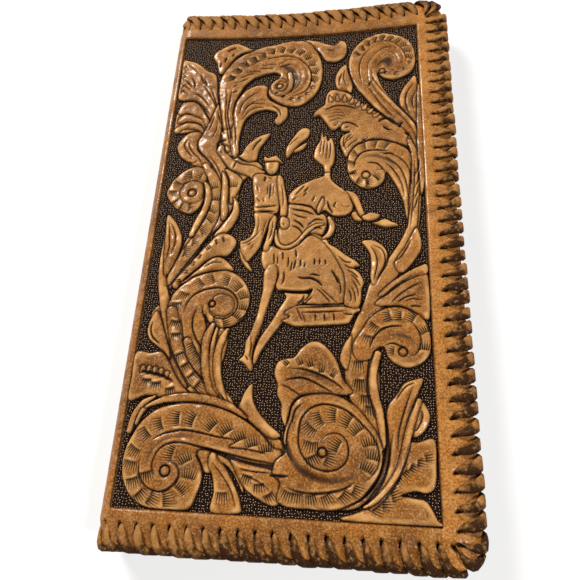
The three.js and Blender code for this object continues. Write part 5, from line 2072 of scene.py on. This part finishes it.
@dataclass
class Plate:
    """A flat piece of inner leather with a straight or notched mouth."""

    name: str
    node: str
    left: float
    right: float
    low: float
    high: float
    near_face: float
    thickness: float
    notch_width: float = 0.0
    notch_depth: float = 0.0
    hole: tuple[float, float, float, float] | None = None
    corners: bool = False
    step: float = 2.0

    def build(self, side: Side, finish: Finish) -> None:
        """Makes and dresses the plate.

        Args:
            side: The half that the plate lies in.
            finish: What it is made of.
        """
        left, low, right, high = self.hole or (self.left, self.low, self.right, self.high)
        us = steps(self.step, *sorted({self.left, left, right, self.right}))
        vs = steps(self.step, *sorted({self.low, low, high, self.high}))
        sheet = Sheet(len(us), len(vs))
        if self.hole:
            sheet.cut_window(nearest(us, left, right), nearest(vs, low, high))
        sheet.thicken()
        column, row, layer = sheet.places()
        u, v = us[column], vs[row]
        middle = 0.5 * (self.low + self.high)
        if self.notch_depth:
            bite = np.sqrt(np.clip(1 - (2 * (v - middle) / self.notch_width) ** 2, 0, 1))
            u = u + self.notch_depth * bite * (self.right - u) / (self.right - self.left)
        if self.corners:
            u, v = round_corner(u, v)
        n = np.where(layer > 0, self.near_face - self.thickness, self.near_face)
        piece = sheet.finish(self.name, place(u, v, n, side), PLAIN_SHARP)
        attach(piece, f"{side.value}_half")
        dress(piece, finish, [self.node])


@dataclass
class Interior:
    """Panels, pockets and window inside the wallet, with the thread that holds them."""

    panel_left: float = 6.0
    panel_face: float = -2.7
    panel_thickness: float = 1.0
    pocket_face: float = -4.0
    pocket_layer: float = 1.0
    pocket_thickness: float = 0.7
    pocket_right: float = 84.15
    pocket_reach: float = 83.15
    slip_mouth: float = 32.0
    card_mouths: tuple[float, float, float] = (18.0, 30.0, 42.0)
    card_top: float = 4.85
    window_face: float = -4.6
    window_low: float = 6.85
    window_frame: float = 9.0
    window_lap: float = 3.0
    sheet_thickness: float = 0.3
    notch_width: float = 28.0
    notch_depth: float = 6.0
    thread_inset: float = 1.6
    thread_start: float = 1.0

    def build(self) -> None:
        """Makes and dresses everything inside, front half first."""
        leather = InnerLeather()
        for side in Side:
            name = f"{side.value}_inner_panel"
            Plate(f"{name}_leather", name, self.panel_left, COVER_WIDTH, -HALF_LENGTH, HALF_LENGTH,
                  self.panel_face, self.panel_thickness, corners=True).build(side, leather)
        right, reach, thickness = self.pocket_right, self.pocket_reach, self.pocket_thickness
        notch = (self.notch_width, self.notch_depth)
        Plate("front_slip_leather", "front_slip_pocket", self.slip_mouth, right, -reach, reach,
              self.pocket_face, thickness, *notch).build(Side.FRONT, leather)
        names = ("card_pocket_rear", "card_pocket_middle", "card_pocket_front")
        for number, (name, mouth) in enumerate(zip(names, self.card_mouths)):
            Plate(f"{name}_leather", name, mouth, right, -reach, self.card_top,
                  self.pocket_face - number * self.pocket_layer, thickness, *notch).build(Side.BACK, leather)
        self.window(leather)
        self.sew("front_slip", "front_slip_pocket", self.slip_mouth, -reach, reach, self.pocket_face,
                 Side.FRONT)
        self.sew("card_pocket", "card_pocket_front", self.card_mouths[2], -reach, self.card_top,
                 self.pocket_face - 2 * self.pocket_layer, Side.BACK)
        self.sew("window_pocket", "window_pocket", self.card_mouths[0], self.window_low, reach,
                 self.window_face, Side.BACK)

    def window(self, leather: Finish) -> None:
        """The framed window pocket and its clear sheet.

        Args:
            leather: What the frame is made of.
        """
        left, right, low, high = self.card_mouths[0], self.pocket_right, self.window_low, self.pocket_reach
        rim, lap = self.window_frame, self.window_frame - self.window_lap
        hole = (left + rim, low + rim, right - rim, high - rim)
        Plate("window_pocket_leather", "window_pocket", left, right, low, high, self.window_face,
              self.pocket_thickness, hole=hole).build(Side.BACK, leather)
        Plate("window_clear_sheet", "window_sheet", left + lap, right - lap, low + lap, high - lap,
              self.pocket_face, self.sheet_thickness).build(Side.BACK, ClearSheet())

    def sew(self, name: str, node: str, mouth: float, low: float, high: float, face: float,
            side: Side) -> None:
        """Sews a pocket down along its three closed edges.

        Args:
            name: The thread's name.
            node: The node that the thread is counted to.
            mouth: The pocket's open edge.
            low: Its lower edge.
            high: Its upper edge.
            face: Its near face.
            side: The half that it lies in.
        """
        left, right = mouth + self.thread_start, self.pocket_right - self.thread_inset
        low, high = low + self.thread_inset, high - self.thread_inset
        line = ((left, high), (right, high), (right, low), (left, low))
        Seam(f"{name}_thread", node, line, face - self.pocket_thickness).build(side)


@dataclass
class Seam:
    """A row of sewn thread along a line of straight runs."""

    name: str
    node: str
    line: tuple[Point, ...]
    face: float
    pitch: float = 3.4
    length: float = 2.5
    radius: float = 0.24
    lift: float = 0.05
    bluntness: float = 1.15
    section: int = 5
    rings: int = 5

    def build(self, side: Side) -> None:
        """Makes and dresses the row.

        Args:
            side: The half that the row lies in.
        """
        tubes = []
        for start, end in zip(self.line, self.line[1:]):
            run = np.subtract(end, start)
            size = float(np.hypot(*run))
            heading = run / size
            count = int(size / self.pitch)
            for i in range(count):
                middle = np.array(start) + heading * (i + 0.5) * size / count
                tubes.append(self.tube(middle, heading))
        piece = weave(self.name, np.concatenate(tubes), self.rings, {}, side)
        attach(piece, f"{side.value}_half")
        dress(piece, Thread(), [self.node])

    def tube(self, middle: np.ndarray, heading: np.ndarray) -> np.ndarray:
        """The rings of one stitch.

        Args:
            middle: Where the stitch lies.
            heading: The way that it runs.

        Returns:
            Leather coordinates of every ring's points.
        """
        share = np.linspace(-1, 1, self.rings)
        across = np.array([-heading[1], heading[0]])
        angles = ring_angles(self.section)
        size = self.radius * np.sqrt(self.bluntness - share**2)
        flat = (middle + heading * (0.5 * self.length * share)[:, None])[:, None]
        flat = flat + across * (size[:, None] * np.cos(angles))[..., None]
        depth = self.face + self.lift + (size[:, None] * np.sin(angles))
        return np.concatenate([flat, depth[..., None]], -1)


@dataclass(frozen=True)
class Lamp:
    """A soft square lamp that looks at the wallet: its place and width in millimetres, watts and colour."""

    name: str
    spot: Spot
    size: float
    power: float
    colour: Colour

    def hang(self) -> None:
        """Hangs the lamp in its place."""
        light = bpy.data.lights.new(self.name, "AREA")
        light.size, light.energy, light.color = self.size * MM, self.power, self.colour
        piece = bpy.data.objects.new(self.name, light)
        spot = Vector(self.spot) * MM
        turn = (-spot).to_track_quat("-Z", "Y")
        piece.matrix_world = Matrix.Translation(spot) @ turn.to_matrix().to_4x4()
        bpy.context.scene.collection.objects.link(piece)


@dataclass
class Studio:
    """Camera, light and floor of the picture, in millimetres where they have a size."""

    camera_place: Spot = (17.509, -71.224, 144.868)
    camera_right: Spot = (0.99162, 0.05046, -0.11894)
    camera_up: Spot = (-0.00457, 0.93370, 0.35804)
    lens: float = 31.08
    film: float = 36.0
    nearest_seen: float = 5.0
    floor_size: float = 3000.0
    floor_drop: float = 0.2
    floor_colour: Colour = (0.9, 0.9, 0.9)
    floor_rough: float = 0.9
    floor_white: float = 0.7
    shadow_reach: Point = (0.14, 0.3)
    white: Colour = (1.0, 1.0, 1.0)
    ambient: float = 0.1
    key: Lamp = Lamp("key", (-1024, 1216, 1216), 520, 60, (1.0, 0.95, 0.87))
    fill: Lamp = Lamp("fill", (420, -240, 460), 110, 2.6, (1.0, 0.97, 0.93))

    def build(self) -> None:
        """Sets the whole studio."""
        self.camera()
        self.floor()
        self.sky()
        self.key.hang()
        self.fill.hang()
        bpy.context.scene.view_settings.view_transform = "Standard"

    def camera(self) -> None:
        """A camera where the picture was taken from."""
        lens = bpy.data.cameras.new("camera")
        lens.lens, lens.sensor_width = self.lens, self.film
        lens.clip_start = self.nearest_seen * MM
        right, up = Vector(self.camera_right), Vector(self.camera_up)
        turn = Matrix((right, up, right.cross(up))).transposed().to_4x4()
        piece = bpy.data.objects.new("camera", lens)
        piece.matrix_world = Matrix.Translation(Vector(self.camera_place) * MM) @ turn
        bpy.context.scene.collection.objects.link(piece)
        bpy.context.scene.camera = piece

    def floor(self) -> None:
        """A pale floor that is white to the camera and keeps the wallet's shadow."""
        mesh = bmesh.new()
        bmesh.ops.create_grid(mesh, x_segments=1, y_segments=1, size=0.5 * self.floor_size * MM)
        floor = make_piece("floor", mesh, PLAIN_SHARP, {})
        floor.location.z = -self.floor_drop * MM
        shader = Shader("floor")
        shader.feed(shader.principled, {"Base Color": self.floor_colour, "Roughness": self.floor_rough})
        white = shader.node("ShaderNodeEmission", {}, {"Color": self.white, "Strength": 1.0}).outputs[0]
        across, along = shader.axis("X"), shader.axis("Y")
        away = ((across * across + along * along) ** 0.5).rise(*self.shadow_reach)
        share = self.floor_white + (1 - self.floor_white) * away
        sockets = {0: shader.seen() * share, 1: shader.principled.outputs[0], 2: white}
        shader.feed(shader.output, {"Surface": shader.node("ShaderNodeMixShader", {}, sockets).outputs[0]})
        floor.data.materials.append(shader.material)

    def sky(self) -> None:
        """An even dim sky, white where it is seen itself."""
        world = bpy.data.worlds.new("studio")
        bpy.context.scene.world = world
        nodes = Nodes(world)
        strength = self.ambient + (1 - self.ambient) * nodes.seen()
        sky = nodes.node("ShaderNodeBackground", {}, {"Color": self.white, "Strength": strength})
        nodes.node("ShaderNodeOutputWorld", {}, {"Surface": sky.outputs[0]})


def main() -> None:
    """Builds the wallet from its covers inwards, then the studio."""
    logging.basicConfig(level=logging.INFO, format="%(message)s")
    Cover(Side.FRONT, FRONT, FIELD_STEP, FRONT_PARTS).build()
    Cover(Side.BACK, BACK, BACK_FIELD_STEP, 1, highest=0.0).build()
    Lacing(Side.FRONT).build()
    Lacing(Side.BACK, lift=-0.4, highest=0.0).build()
    Interior().build()
    Studio().build()


if __name__ == "__main__":
    main()
